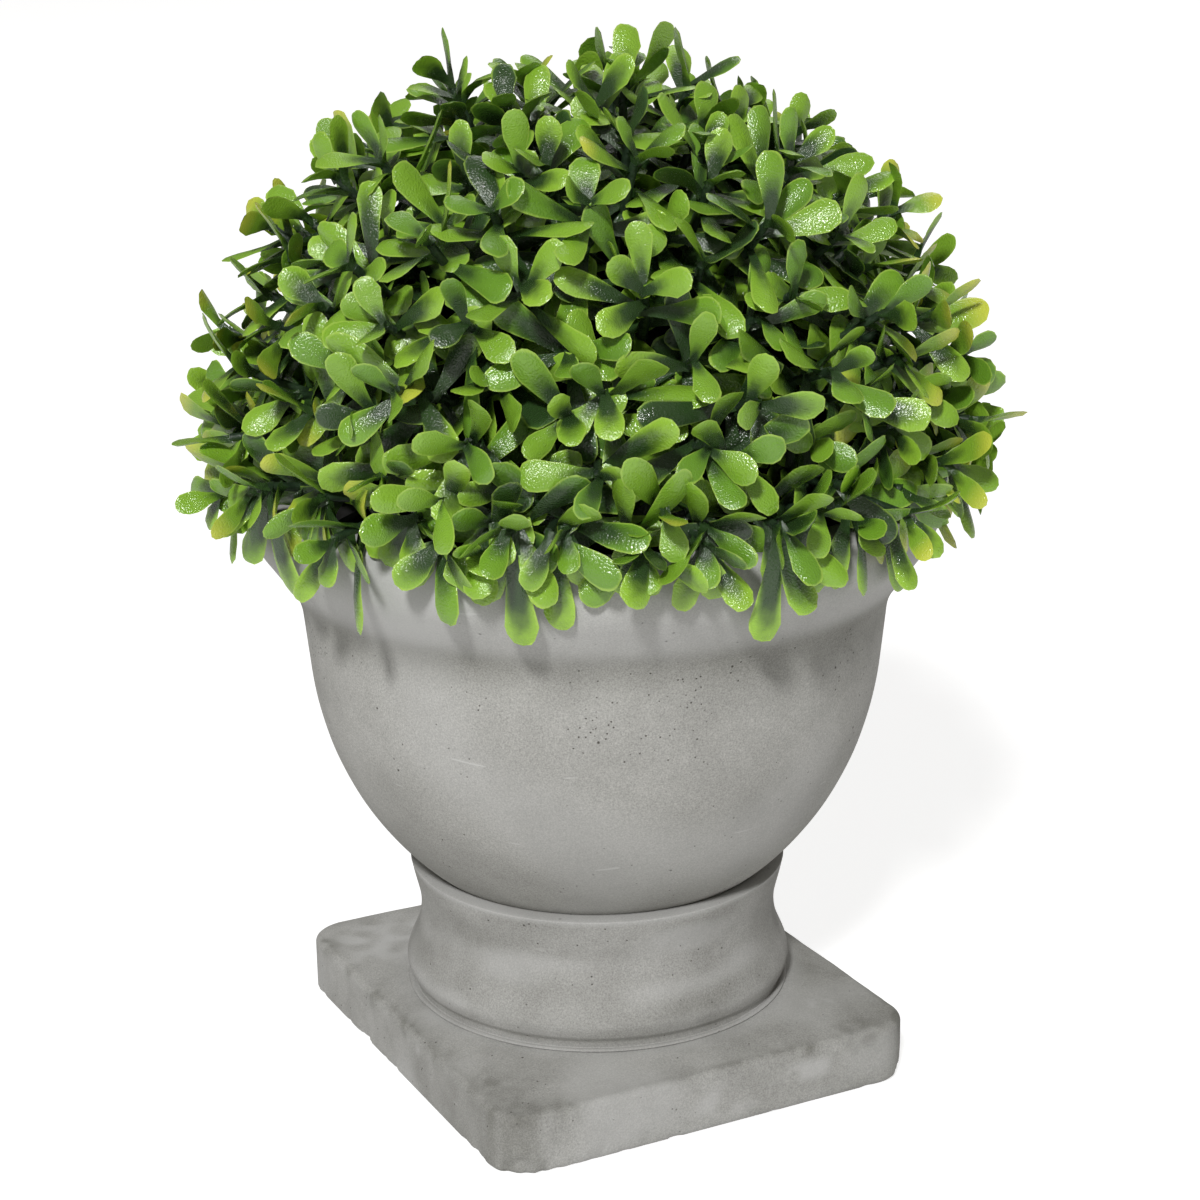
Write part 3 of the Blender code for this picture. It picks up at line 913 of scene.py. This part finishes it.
def is_clear(points):
    """True where every point keeps inside the crown's space and off the urn."""
    for point in points:
        if point.z < lowest_tip or (point - crown_centre).length > crown_radius + tip_play:
            return False
        if point.z < rim_z + leaf_clearance:
            if math.hypot(point.x, point.y) < outside_radius_at(point.z) + leaf_clearance:
                return False
    return True


def leaf_frame(root, along, upper):
    """The matrix that puts a leaf at its root, pointing along, with its upper face turned to upper."""
    across = along.cross(upper).normalized()
    face = across.cross(along).normalized()
    turn = Matrix((across, along, face)).transposed().to_4x4()
    return Matrix.Translation(root) @ turn


def leaf_kind(length):
    """The number of the kind of leaf nearest to a length."""
    return min(range(len(leaf_kinds)), key=lambda kind: abs(leaf_kinds[kind][0] - length))


def placed_blade(leaf, start_at, half_start):
    """A placed leaf as a plain blade, from some way up its stalk, for telling which leaves cross."""
    place, length = leaf
    size = Vector((leaf_kinds[leaf_kind(length)][1], length, leaf_thickness))
    wide_at = 0.68
    half_tip = 0.27
    points = (
        (-half_start, start_at, -0.2),
        (half_start, start_at, -0.2),
        (0.0, start_at, 0.4),
        (-0.5, wide_at, -0.1),
        (0.5, wide_at, -0.1),
        (0.0, wide_at - 0.08, 0.5),
        (-half_tip, 1.0, -0.5),
        (half_tip, 1.0, -0.5),
    )
    return [place @ (Vector(point) * size) for point in points]


def blade_samples(leaf):
    """Points along the edges of a placed leaf."""
    corners = placed_blade(leaf, 0.2, 0.2)
    samples = []
    for face in blade_faces:
        for here, there in zip(face, face[1:] + face[:1]):
            samples += [corners[here].lerp(corners[there], share) for share in (0.0, 0.5)]
    return samples


def free_blade(leaf):
    """The part of a leaf that stands free of its twig."""
    points = placed_blade(leaf, 0.32, 0.28)
    return BVHTree.FromPolygons(points, blade_faces), points[5]


def square_to(axis):
    """Two directions square to the axis and to each other."""
    helper = Vector((0.0, 0.0, 1.0)) if abs(axis.z) < 0.9 else Vector((1.0, 0.0, 0.0))
    side = axis.cross(helper).normalized()
    return side, axis.cross(side)


def sprig_leaves(rng, foot, axis, reach, taken):
    """Places of the leaves on one twig: opposite pairs, each turned a quarter from the one below."""
    side, cross = square_to(axis)
    first_turn = rng.uniform(0.0, math.tau)
    droop = max(0.0, 0.5 - axis.z) * 1.2
    places = []
    for pair, (place_along, spread, longest) in enumerate(leaf_pairs):
        for half in range(2):
            for attempt in range(leaf_tries):
                loose = 0.3 + 0.7 * attempt / leaf_tries
                turn = first_turn + pair * math.pi / 2 + half * math.pi + rng.uniform(-0.8, 0.8) * loose
                lean = math.radians(spread + rng.uniform(-38, 22) * loose)
                length = longest * rng.uniform(0.70, 1.08)
                out = side * math.cos(turn) + cross * math.sin(turn)
                along = axis * math.cos(lean) + out * math.sin(lean)
                along = (along - Vector((0.0, 0.0, droop))).normalized()
                upper = axis * math.sin(lean) - out * math.cos(lean)
                upper = Matrix.Rotation(rng.gauss(0.0, 0.42), 3, along) @ upper
                leaf = (leaf_frame(foot + axis * reach * place_along, along, upper), length)
                if not is_clear(blade_samples(leaf)):
                    continue
                blade, middle = free_blade(leaf)
                near = [other for other, where in taken if (where - middle).length < leaf_kinds[-1][0]]
                if any(blade.overlap(other) for other in near):
                    continue
                taken.append((blade, middle))
                places.append(leaf)
                break
    return places


def hung_over_lip():
    """Bearings and drops of all leaves that hang over the lip: the long ones, and short ones between them."""
    spread = random.Random(seed)
    first = hanging_leaves[-1][0]
    far_side = hanging_leaves[0][0] + 360 - first
    hung = list(hanging_leaves)
    for k in range(more_hanging):
        bearing = first + far_side * (k + 1 + spread.uniform(-0.3, 0.3)) / (more_hanging + 1)
        hung.append((bearing, spread.uniform(0.0035, 0.0140)))
    long_ones = [bearing for bearing, drop in hung]
    for k in range(rim_leaves):
        bearing = first + 360 * (k + spread.uniform(-0.25, 0.25)) / rim_leaves
        if min(abs((bearing - other + 180) % 360 - 180) for other in long_ones) > 3.0:
            hung.append((bearing, spread.uniform(-0.0010, 0.0042)))
    return hung


def hanging_sprigs(taken):
    """Twigs just over the lip, each ending in a leaf that hangs outside it; a long one has a partner."""
    sprigs = []
    for index, (bearing, drop) in enumerate(hung_over_lip()):
        rng = random.Random(seed * 100 + index)
        turn = math.radians(bearing)
        out = Vector((math.cos(turn), math.sin(turn), 0.0))
        aside = Vector((-out.y, out.x, 0.0))
        height = hang_z + rng.uniform(-0.0012, 0.0040)
        end_out = hang_out + rng.uniform(-0.0006, 0.0010) + 0.3 * max(0.0, drop - pair_drop)
        foot = out * twig_foot + Vector((0.0, 0.0, hang_z))
        tip = out * (end_out - hang_bend) + aside * rng.uniform(-0.005, 0.005) + Vector((0.0, 0.0, height))
        end = out * end_out + aside * rng.uniform(-0.002, 0.002) + Vector((0.0, 0.0, rim_z - drop))
        root = foot.lerp(tip, 0.96)
        length = min((end - root).length, 0.0205)
        along = (end - root).normalized()
        upper = Matrix.Rotation(rng.uniform(-0.35, 0.35), 3, along) @ out
        places = [(leaf_frame(root, along, upper), length)]
        if drop > pair_drop:
            swing = rng.choice((-1, 1)) * math.radians(rng.uniform(16, 34))
            beside = Matrix.Rotation(swing, 3, out) @ along
            places.append((leaf_frame(root, beside, upper), length * rng.uniform(0.70, 0.92)))
        taken += [free_blade(leaf) for leaf in places]
        reach = (tip - foot).length
        places += sprig_leaves(rng, foot, (tip - foot).normalized(), reach, taken)
        sprigs.append((foot, tip, places))
    return sprigs


def standing_sprigs(taken):
    """Twigs that stand out of the foam all over the ball, each with its pairs of leaves."""
    sprigs = []
    golden_turn = math.pi * (3 - math.sqrt(5))
    for index in range(ball_sprigs):
        rng = random.Random(seed * 1000 + index)
        up = 1 - (index + 0.5) / ball_sprigs * (1 - lowest_sprig)
        flat = math.sqrt(1 - up * up)
        turn = index * golden_turn
        direction = Vector((flat * math.cos(turn), flat * math.sin(turn), up))
        axis = (direction + Vector([rng.uniform(-0.14, 0.14) for _ in range(3)])).normalized()
        foot = crown_centre + direction * twig_foot
        reach = twig_end + rng.uniform(-0.0055, 0.0045) - twig_foot
        tip = foot + axis * reach
        underside = Vector((0.0, 0.0, -twig_radius))
        if is_clear([foot.lerp(tip, share) + underside for share in (0.5, 0.75, 1.0)]):
            sprigs.append((foot, tip, sprig_leaves(rng, foot, axis, reach, taken)))
    return sprigs


taken_places = []
sprigs = hanging_sprigs(taken_places) + standing_sprigs(taken_places)


# The leaves: moulded in soft plastic, thick, spoon-shaped on a channelled stalk, dark at the root and
# fresh green at the tip. A few moulds, each a little different, are repeated all over the ball.
stalk_half = 0.00068
stalk_length = 0.0016
leaf_columns = 4

# The leaf's map: each tone has a column, the leaf takes this share of it each way, widest at this height
map_name = "OFBake"
map_half = 0.47
map_wide = 0.78

# For each tone, how far along the leaf its dark root colour runs, and the green of its tip
tones = (
    (0.46, (0.250, 0.470, 0.036)),
    (0.68, (0.210, 0.420, 0.032)),
    (0.56, (0.290, 0.530, 0.042)),
    (0.84, (0.290, 0.540, 0.038)),
    (0.50, (0.170, 0.360, 0.029)),
    (0.80, (0.340, 0.600, 0.046)),
    (0.38, (0.260, 0.490, 0.037)),
    (0.90, (0.130, 0.290, 0.030)),
    (1.06, (0.080, 0.190, 0.036)),
    (0.82, (0.160, 0.340, 0.030)),
    (1.16, (0.070, 0.160, 0.034)),
    (0.50, (0.250, 0.450, 0.036)),
)
tone_count = len(tones)
first_dark_tone = 7
# The last tone has yellow tips: painted light shining through backlit tips, partly yellowed plastic
yellow_glow_tone = tone_count - 1
hanging_tones = (3, 5)
moulds_of_a_kind = 5


def leaf_rows(length, width, wide_at, squareness):
    """Rows along a leaf, each (place along, half width): a slim stalk, a slow spread and a round end."""
    stalk_end = stalk_length / length
    rows = [(0.0, stalk_half * 1.2)]
    spread_rows = 4
    for k in range(spread_rows + 1):
        way = k / spread_rows
        grow = 0.35 * way + 0.65 * smooth_step(0.0, 1.0, way)
        rows.append((stalk_end + (wide_at - stalk_end) * way, stalk_half + (width / 2 - stalk_half) * grow))
    for turn in (26, 47, 64):
        past = math.sin(math.radians(turn))
        rows.append((wide_at + (1 - wide_at) * past, width / 2 * (1 - past**squareness) ** (1 / squareness)))
    return rows


def leaf_mould(kind, index):
    """One leaf of a kind, root at the origin, along +Y, upper face +Z, closed, with a crisp rim.

    Its last row bows out as an arc, which closes the round end."""
    rng = random.Random(400 + 20 * kind + index)
    length, width, wide_at = leaf_kinds[kind]
    width *= rng.uniform(0.92, 1.08)
    wide_at += rng.uniform(-0.05, 0.04)
    squareness = rng.uniform(1.9, 2.4)
    rows = leaf_rows(length, width, wide_at, squareness)
    bend = math.radians(rng.uniform(-12, 52))
    cup = rng.uniform(-0.52, 0.10)
    twist = rng.uniform(-0.45, 0.45)
    sweep = math.radians(rng.uniform(-16, 16))
    bm = bmesh.new()
    uv = bm.loops.layers.uv.new(map_name)
    marks = {}

    def map_height(share):
        if share < wide_at:
            return map_wide * share / wide_at
        return map_wide + (1 - map_wide) * (share - wide_at) / (1 - wide_at)

    upper = []
    under = []
    spine = Vector((0.0, 0.0, 0.0))
    before = 0.0
    for k, (share, half) in enumerate(rows):
        middle = (share + before) / 2
        pitch = -bend * middle**1.4
        yaw = sweep * middle
        ahead = Vector((math.sin(yaw) * math.cos(pitch), math.cos(yaw) * math.cos(pitch), math.sin(pitch)))
        spine += ahead * (share - before) * length
        before = share
        side = Matrix.Rotation(twist * share, 3, ahead) @ ahead.cross(Vector((0.0, 0.0, 1.0))).normalized()
        face = side.cross(ahead)
        body = 0.00050 - 0.00022 * share
        channel = 0.0009 * smooth_step(0.55, 0.05, share)
        is_last = k == len(rows) - 1
        upper_row = []
        for j in range(leaf_columns + 1):
            across = 2 * j / leaf_columns - 1
            is_rim = abs(across) == 1.0 or is_last
            nick = rng.uniform(-0.00015, 0.00011) if is_rim and share > 0.3 else 0.0
            x = across * (half + nick)
            lift = cup * (x / (width / 2)) ** 2 * width / 2 + channel * across * across
            lift += rng.uniform(-0.00006, 0.00006) if share > 0.3 else 0.0
            past = 0.0
            if is_last:
                full = (1 - abs(2 * x / width) ** squareness) ** (1 / squareness)
                past = wide_at + (1 - wide_at) * full - share
                lift += math.sin(-bend * 0.5) * past * length + 0.4 * cup * past * length
            place = spine + side * x + face * lift + ahead * (past * length + nick)
            top = bm.verts.new(place + face * (0.0 if is_rim else body * (1 - 0.8 * across * across)))
            reach_across = 2 * x / width if share > wide_at else across * min(1.0, 0.3 + 2 * half / width)
            marks[top] = (0.5 + map_half * reach_across, 0.01 + 0.98 * map_height(share + past))
            upper_row.append(top)
            if j == leaf_columns // 2 and not is_last:
                below = bm.verts.new(place - face * body)
                marks[below] = marks[top]
                under.append(below)
        upper.append(upper_row)
    corners_of_faces = [upper[0] + under[:1]]
    for lower_row, upper_row in zip(upper, upper[1:]):
        for j in range(leaf_columns):
            corners_of_faces.append((lower_row[j], lower_row[j + 1], upper_row[j + 1], upper_row[j]))
    for k in range(len(rows) - 2):
        corners_of_faces.append((upper[k][0], upper[k + 1][0], under[k + 1], under[k]))
        corners_of_faces.append((under[k], under[k + 1], upper[k + 1][-1], upper[k][-1]))
    half_way = leaf_columns // 2
    corners_of_faces.append([upper[-2][0]] + upper[-1][: half_way + 1] + [under[-1]])
    corners_of_faces.append([under[-1]] + upper[-1][half_way:] + [upper[-2][-1]])
    for corners in corners_of_faces:
        for loop in bm.faces.new(corners).loops:
            loop[uv].uv = marks[loop.vert]
    bmesh.ops.recalc_face_normals(bm, faces=bm.faces)
    for edge in bm.edges:
        edge.smooth = edge.calc_face_angle(0.0) < math.radians(60)
    return smooth_mesh(bm, "leaf mould")


def leaf_plastic():
    """Two-toned plastic: the tone of each leaf is a column of its map, and the colours run along the leaf."""
    material, tree, shader = new_material("leaf plastic")
    where = add_node(tree, "ShaderNodeUVMap", uv_map=map_name).outputs["UV"]
    parts = add_node(tree, "ShaderNodeSeparateXYZ", {"Vector": where}).outputs
    columns = worked_out(tree, "MULTIPLY", parts["X"], tone_count)
    along = parts["Y"]
    tone = worked_out(tree, "FLOOR", columns)
    tone_share = worked_out(tree, "MULTIPLY_ADD", tone, 1 / tone_count, 0.5 / tone_count)

    def by_tone(colours):
        """The colour that each tone has in a list."""
        steps = [(k / tone_count, colour) for k, colour in enumerate(colours)]
        return colour_steps(tree, tone_share, steps, "CONSTANT")

    dark_reach = by_tone([(reach, reach, reach) for reach, green in tones])
    tip_green = by_tone([green for reach, green in tones])
    off_middle = worked_out(tree, "SUBTRACT", worked_out(tree, "FRACT", columns), 0.5)
    off_square = worked_out(tree, "MULTIPLY", off_middle, off_middle)
    clouds = noise_at(tree, mapped(tree, where, Scale=(tone_count * 3.0, 7.0, 1.0)), 0.8)
    position = worked_out(tree, "MULTIPLY_ADD", off_square, 1.5, along)
    stirred = worked_out(tree, "MULTIPLY_ADD", clouds, 0.25, position)
    freshness = ranged(tree, worked_out(tree, "SUBTRACT", stirred, dark_reach), -0.10, 0.34)
    body = mixed(tree, freshness, (0.030, 0.070, 0.018), tip_green)

    # How near the leaf's edge: the sides by the distance from the middle, the round end as half a disc
    past_wide = ranged(tree, along, map_wide, 1.0, shape="LINEAR")
    past_square = worked_out(tree, "MULTIPLY", past_wide, past_wide)
    to_edge = worked_out(tree, "MULTIPLY_ADD", off_square, 1 / map_half**2, past_square)
    # A painted glow along the thin rim, light shining through the edge and catching it, stronger where the
    # leaf is fresh green
    rim_light = ranged(tree, freshness, 0.0, 1.0, 0.34, 0.70, shape="LINEAR")
    rim_glow_share = worked_out(tree, "MULTIPLY", ranged(tree, to_edge, 0.70, 0.94), rim_light)
    with_rim_glow = mixed(tree, rim_glow_share, body, (0.46, 0.68, 0.10))

    # The last tone's tips are painted yellow: light shining through backlit tips, partly yellowed plastic
    is_yellow_glow = worked_out(tree, "GREATER_THAN", tone_share, 1 - 1 / tone_count)
    yellow_glow_share = worked_out(tree, "MULTIPLY", is_yellow_glow, ranged(tree, along, 0.66, 1.0))
    grain_place = mapped(tree, where, Scale=(tone_count * 4.0, 11.0, 1.0))
    grain = noise_at(tree, grain_place, 3.6, detail=1.5, roughness=0.6)
    look = {
        "Base Color": mixed(tree, yellow_glow_share, with_rim_glow, (0.68, 0.74, 0.08)),
        "Roughness": ranged(tree, grain, 0.3, 0.7, 0.14, 0.28, shape="LINEAR"),
        "Specular IOR Level": 1.0,
        "Normal": relief(tree, grain, 1.0, 0.00017),
    }
    fill_in(tree, shader, look)
    return material


def grower(name, inputs):
    """A Geometry Nodes tree that takes in a carrier mesh, a material and the given inputs."""
    inputs = [("Geometry", "Geometry", None), ("Material", "Material", None)] + inputs
    tree, given, made = new_group(name, "GeometryNodeTree", inputs, [("Geometry", "Geometry")])
    tree.is_modifier = True
    return tree, given, made


def carried(tree, name, kind):
    """The value that the carrier's points keep under a name."""
    node = add_node(tree, "GeometryNodeInputNamedAttribute", {"Name": name}, data_type=kind)
    return node.outputs["Attribute"]


def painted(tree, geometry, material):
    inputs = {"Geometry": geometry, "Material": material}
    return add_node(tree, "GeometryNodeSetMaterial", inputs).outputs["Geometry"]


def realized(tree, instances):
    return add_node(tree, "GeometryNodeRealizeInstances", {"Geometry": instances}).outputs["Geometry"]


def leaf_tree():
    """Places a copy of one mould at each point, turned and sized as the point says, and slides its map."""
    inputs = [("Moulds", "Collection", None), ("Tones", "Int", tone_count)]
    tree, given, made = grower("repeated leaves", inputs)
    moulds_in = {"Collection": given["Moulds"], "Separate Children": True, "Reset Children": True}
    all_moulds = add_node(tree, "GeometryNodeCollectionInfo", moulds_in, transform_space="ORIGINAL")
    turn = add_node(tree, "FunctionNodeEulerToRotation", {"Euler": carried(tree, "turn", "FLOAT_VECTOR")})
    copies_in = {
        "Points": given["Geometry"],
        "Instance": all_moulds.outputs["Instances"],
        "Pick Instance": True,
        "Instance Index": carried(tree, "mould", "INT"),
        "Rotation": turn.outputs["Rotation"],
        "Scale": carried(tree, "size", "FLOAT_VECTOR"),
    }
    copies = add_node(tree, "GeometryNodeInstanceOnPoints", copies_in)

    # Slides each leaf's map into the column of its tone
    column = add_node(tree, "ShaderNodeCombineXYZ", {"X": carried(tree, "tone", "FLOAT")}).outputs["Vector"]
    plain_map = carried(tree, map_name, "FLOAT_VECTOR")
    slid = add_node(tree, "ShaderNodeVectorMath", {0: plain_map, 1: column}, operation="ADD")
    squeeze = {"X": worked_out(tree, "DIVIDE", 1.0, given["Tones"]), "Y": 1.0}
    narrow = add_node(tree, "ShaderNodeCombineXYZ", squeeze).outputs["Vector"]
    fitted_in = {0: slid.outputs["Vector"], 1: narrow}
    fitted = add_node(tree, "ShaderNodeVectorMath", fitted_in, operation="MULTIPLY").outputs["Vector"]
    kept_in = {"Geometry": realized(tree, copies.outputs["Instances"]), "Name": map_name, "Value": fitted}
    kept = add_node(tree, "GeometryNodeStoreNamedAttribute", kept_in, data_type="FLOAT2", domain="CORNER")
    fill_in(tree, made, {"Geometry": painted(tree, kept.outputs["Geometry"], given["Material"])})
    return tree


def grown_mesh(name, carrier_mesh, tree, values):
    """The plain mesh that a Geometry Nodes tree makes from a carrier mesh, as a new object."""
    carrier = scene_object(name + " carrier", carrier_mesh)
    modifier = carrier.modifiers.new("grown", "NODES")
    modifier.node_group = tree
    sockets = {s.name: s.identifier for s in tree.interface.items_tree if s.in_out == "INPUT"}
    for socket_name, value in values.items():
        modifier[sockets[socket_name]] = value
    graph = bpy.context.evaluated_depsgraph_get()
    mesh = bpy.data.meshes.new_from_object(carrier.evaluated_get(graph))
    mesh.name = name
    bpy.data.objects.remove(carrier)
    return scene_object(name, mesh)


# The two sides of the ball where most tips get the yellow tone: painted light shining through backlit tips,
# partly yellowed plastic
lit_through_flank = Vector((0.889, -0.458, 0.0))


def leaf_tone(rng, tip, place):
    """A tone for one leaf: deep in the ball more leaves are dark, painted shade there as well as old dark
    leaves, and the two flanks have most yellow tips, painted backlight as well as yellowed plastic.
    """
    depth = twig_end - (place.translation - crown_centre).length
    on_flank = smooth_step(0.55, 0.85, abs(tip.dot(lit_through_flank)) / twig_end)
    # Yellow tips on the flanks: painted light shining through backlit tips, partly yellowed plastic
    if rng.random() < (0.02 + 0.36 * on_flank if depth < 0.007 else 0.0):
        return yellow_glow_tone
    if place.col[1].z < -0.8:
        return rng.choice(hanging_tones)
    # Deeper in the ball more leaves take a dark tone: painted shade among the inner leaves, as well as old
    # dark leaves
    if rng.random() < 0.07 + 0.40 * smooth_step(0.002, 0.014, depth):
        return rng.randrange(first_dark_tone, yellow_glow_tone)
    return rng.randrange(first_dark_tone)


def leaf_carrier(sprigs_here, rng):
    """A point for each leaf, with its turn, size, mould and tone."""
    roots = []
    turns = []
    sizes = []
    mould_numbers = []
    leaf_tones = []
    for foot, tip, places in sprigs_here:
        for place, length in places:
            kind = leaf_kind(length)
            roots.append(place.translation)
            turns += place.to_euler()
            sizes += (rng.uniform(0.88, 1.12), length / leaf_kinds[kind][0], 1.0)
            mould_numbers.append(kind * moulds_of_a_kind + rng.randrange(moulds_of_a_kind))
            leaf_tones.append(leaf_tone(rng, tip, place))
    mesh = bpy.data.meshes.new("leaf points")
    mesh.from_pydata(roots, [], [])
    store(mesh, "turn", "FLOAT_VECTOR", "vector", turns)
    store(mesh, "size", "FLOAT_VECTOR", "vector", sizes)
    store(mesh, "mould", "INT", "value", mould_numbers)
    store(mesh, "tone", "FLOAT", "value", leaf_tones)
    return mesh


moulds = bpy.data.collections.new("leaf moulds")
for kind in range(len(leaf_kinds)):
    for index in range(moulds_of_a_kind):
        moulds.objects.link(bpy.data.objects.new(f"leaf mould {kind}{index}", leaf_mould(kind, index)))

repeating = leaf_tree()
leaf_inputs = {"Moulds": moulds, "Material": leaf_plastic(), "Tones": tone_count}
leaf_layers = ("skirt", "middle", "top")
by_height = sorted(sprigs, key=lambda sprig: sprig[1].z)
for layer, layer_name in enumerate(leaf_layers):
    first = len(by_height) * layer // len(leaf_layers)
    last = len(by_height) * (layer + 1) // len(leaf_layers)
    leaf_points = leaf_carrier(by_height[first:last], random.Random(91 + layer))
    leaves = grown_mesh("boxwood_leaves_" + layer_name, leaf_points, repeating, leaf_inputs)
    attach(leaves, "root")
    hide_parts("crown")
for mould in list(moulds.objects):
    bpy.data.objects.remove(mould)
bpy.data.collections.remove(moulds)


# The twigs: each sprig's own stalk, dark green plastic, thickest where it leaves the foam.
# Short side stalks are part of the leaves.
def twig_tree():
    """Makes round stalks along a mesh's edges, as thick as its thickness attribute says."""
    tree, given, made = grower("stalks", [("Sides", "Int", 6)])
    lines = add_node(tree, "GeometryNodeMeshToCurve", {"Mesh": given["Geometry"]})
    ring = add_node(tree, "GeometryNodeCurvePrimitiveCircle", {"Radius": 1.0, "Resolution": given["Sides"]})
    stalks_in = {
        "Curve": lines.outputs["Curve"],
        "Profile Curve": ring.outputs["Curve"],
        "Scale": carried(tree, "thickness", "FLOAT"),
        "Fill Caps": True,
    }
    stalks = add_node(tree, "GeometryNodeCurveToMesh", stalks_in).outputs["Mesh"]
    fill_in(tree, made, {"Geometry": painted(tree, realized(tree, stalks), given["Material"])})
    return tree


def twig_carrier():
    """Each twig as a run of short edges that bows a little, with its thickness at each point."""
    points = []
    edges = []
    widths = []
    steps = 5
    for index, (foot, tip, places) in enumerate(sprigs):
        rng = random.Random(500 + index)
        bow = Vector([rng.uniform(-0.0012, 0.0012) for _ in range(3)])
        for k in range(steps + 1):
            share = k / steps
            points.append(foot.lerp(tip, share) + bow * math.sin(math.pi * share))
            widths.append(twig_radius * (1.15 - 0.35 * share))
            if k:
                edges.append((len(points) - 2, len(points) - 1))
    mesh = bpy.data.meshes.new("twig lines")
    mesh.from_pydata(points, edges, [])
    store(mesh, "thickness", "FLOAT", "value", widths)
    return mesh


twig_plastic = speckled_material("twig plastic", (0.012, 0.026, 0.013), (0.032, 0.064, 0.028), 0.35, 500.0)
twigs = grown_mesh("boxwood_twigs", twig_carrier(), twig_tree(), {"Sides": 7, "Material": twig_plastic})
for polygon in twigs.data.polygons:
    polygon.use_smooth = True
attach(twigs, "root")
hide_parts("crown")


# The foam ball that the sprigs are pushed into, cut flat below and painted almost black-green.
# Only dark glimpses of it show between the leaves.
def make_core():
    """A ball with its underside cut flat and closed, and a slightly uneven skin."""
    bm = bmesh.new()
    bmesh.ops.create_icosphere(bm, subdivisions=5, radius=core_radius - 0.0045)
    bmesh.ops.translate(bm, vec=crown_centre, verts=bm.verts)
    bmesh.ops.bisect_plane(
        bm,
        geom=bm.verts[:] + bm.edges[:] + bm.faces[:],
        plane_co=(0.0, 0.0, core_underside),
        plane_no=(0.0, 0.0, 1.0),
        clear_inner=True,
    )
    bmesh.ops.holes_fill(bm, edges=[e for e in bm.edges if e.is_boundary])
    for vert in bm.verts:
        if vert.co.z > core_underside + 0.0005:
            vert.co += (vert.co - crown_centre).normalized() * noise.noise(vert.co * 170.0) * 0.0012
    return scene_object("foam_ball", smooth_mesh(bm, "foam_ball"))


core = make_core()
core_skin = speckled_material("foam ball", (0.004, 0.008, 0.004), (0.012, 0.026, 0.012), 0.95, 350.0)
core.data.materials.append(core_skin)
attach(core, "root")
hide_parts("crown")
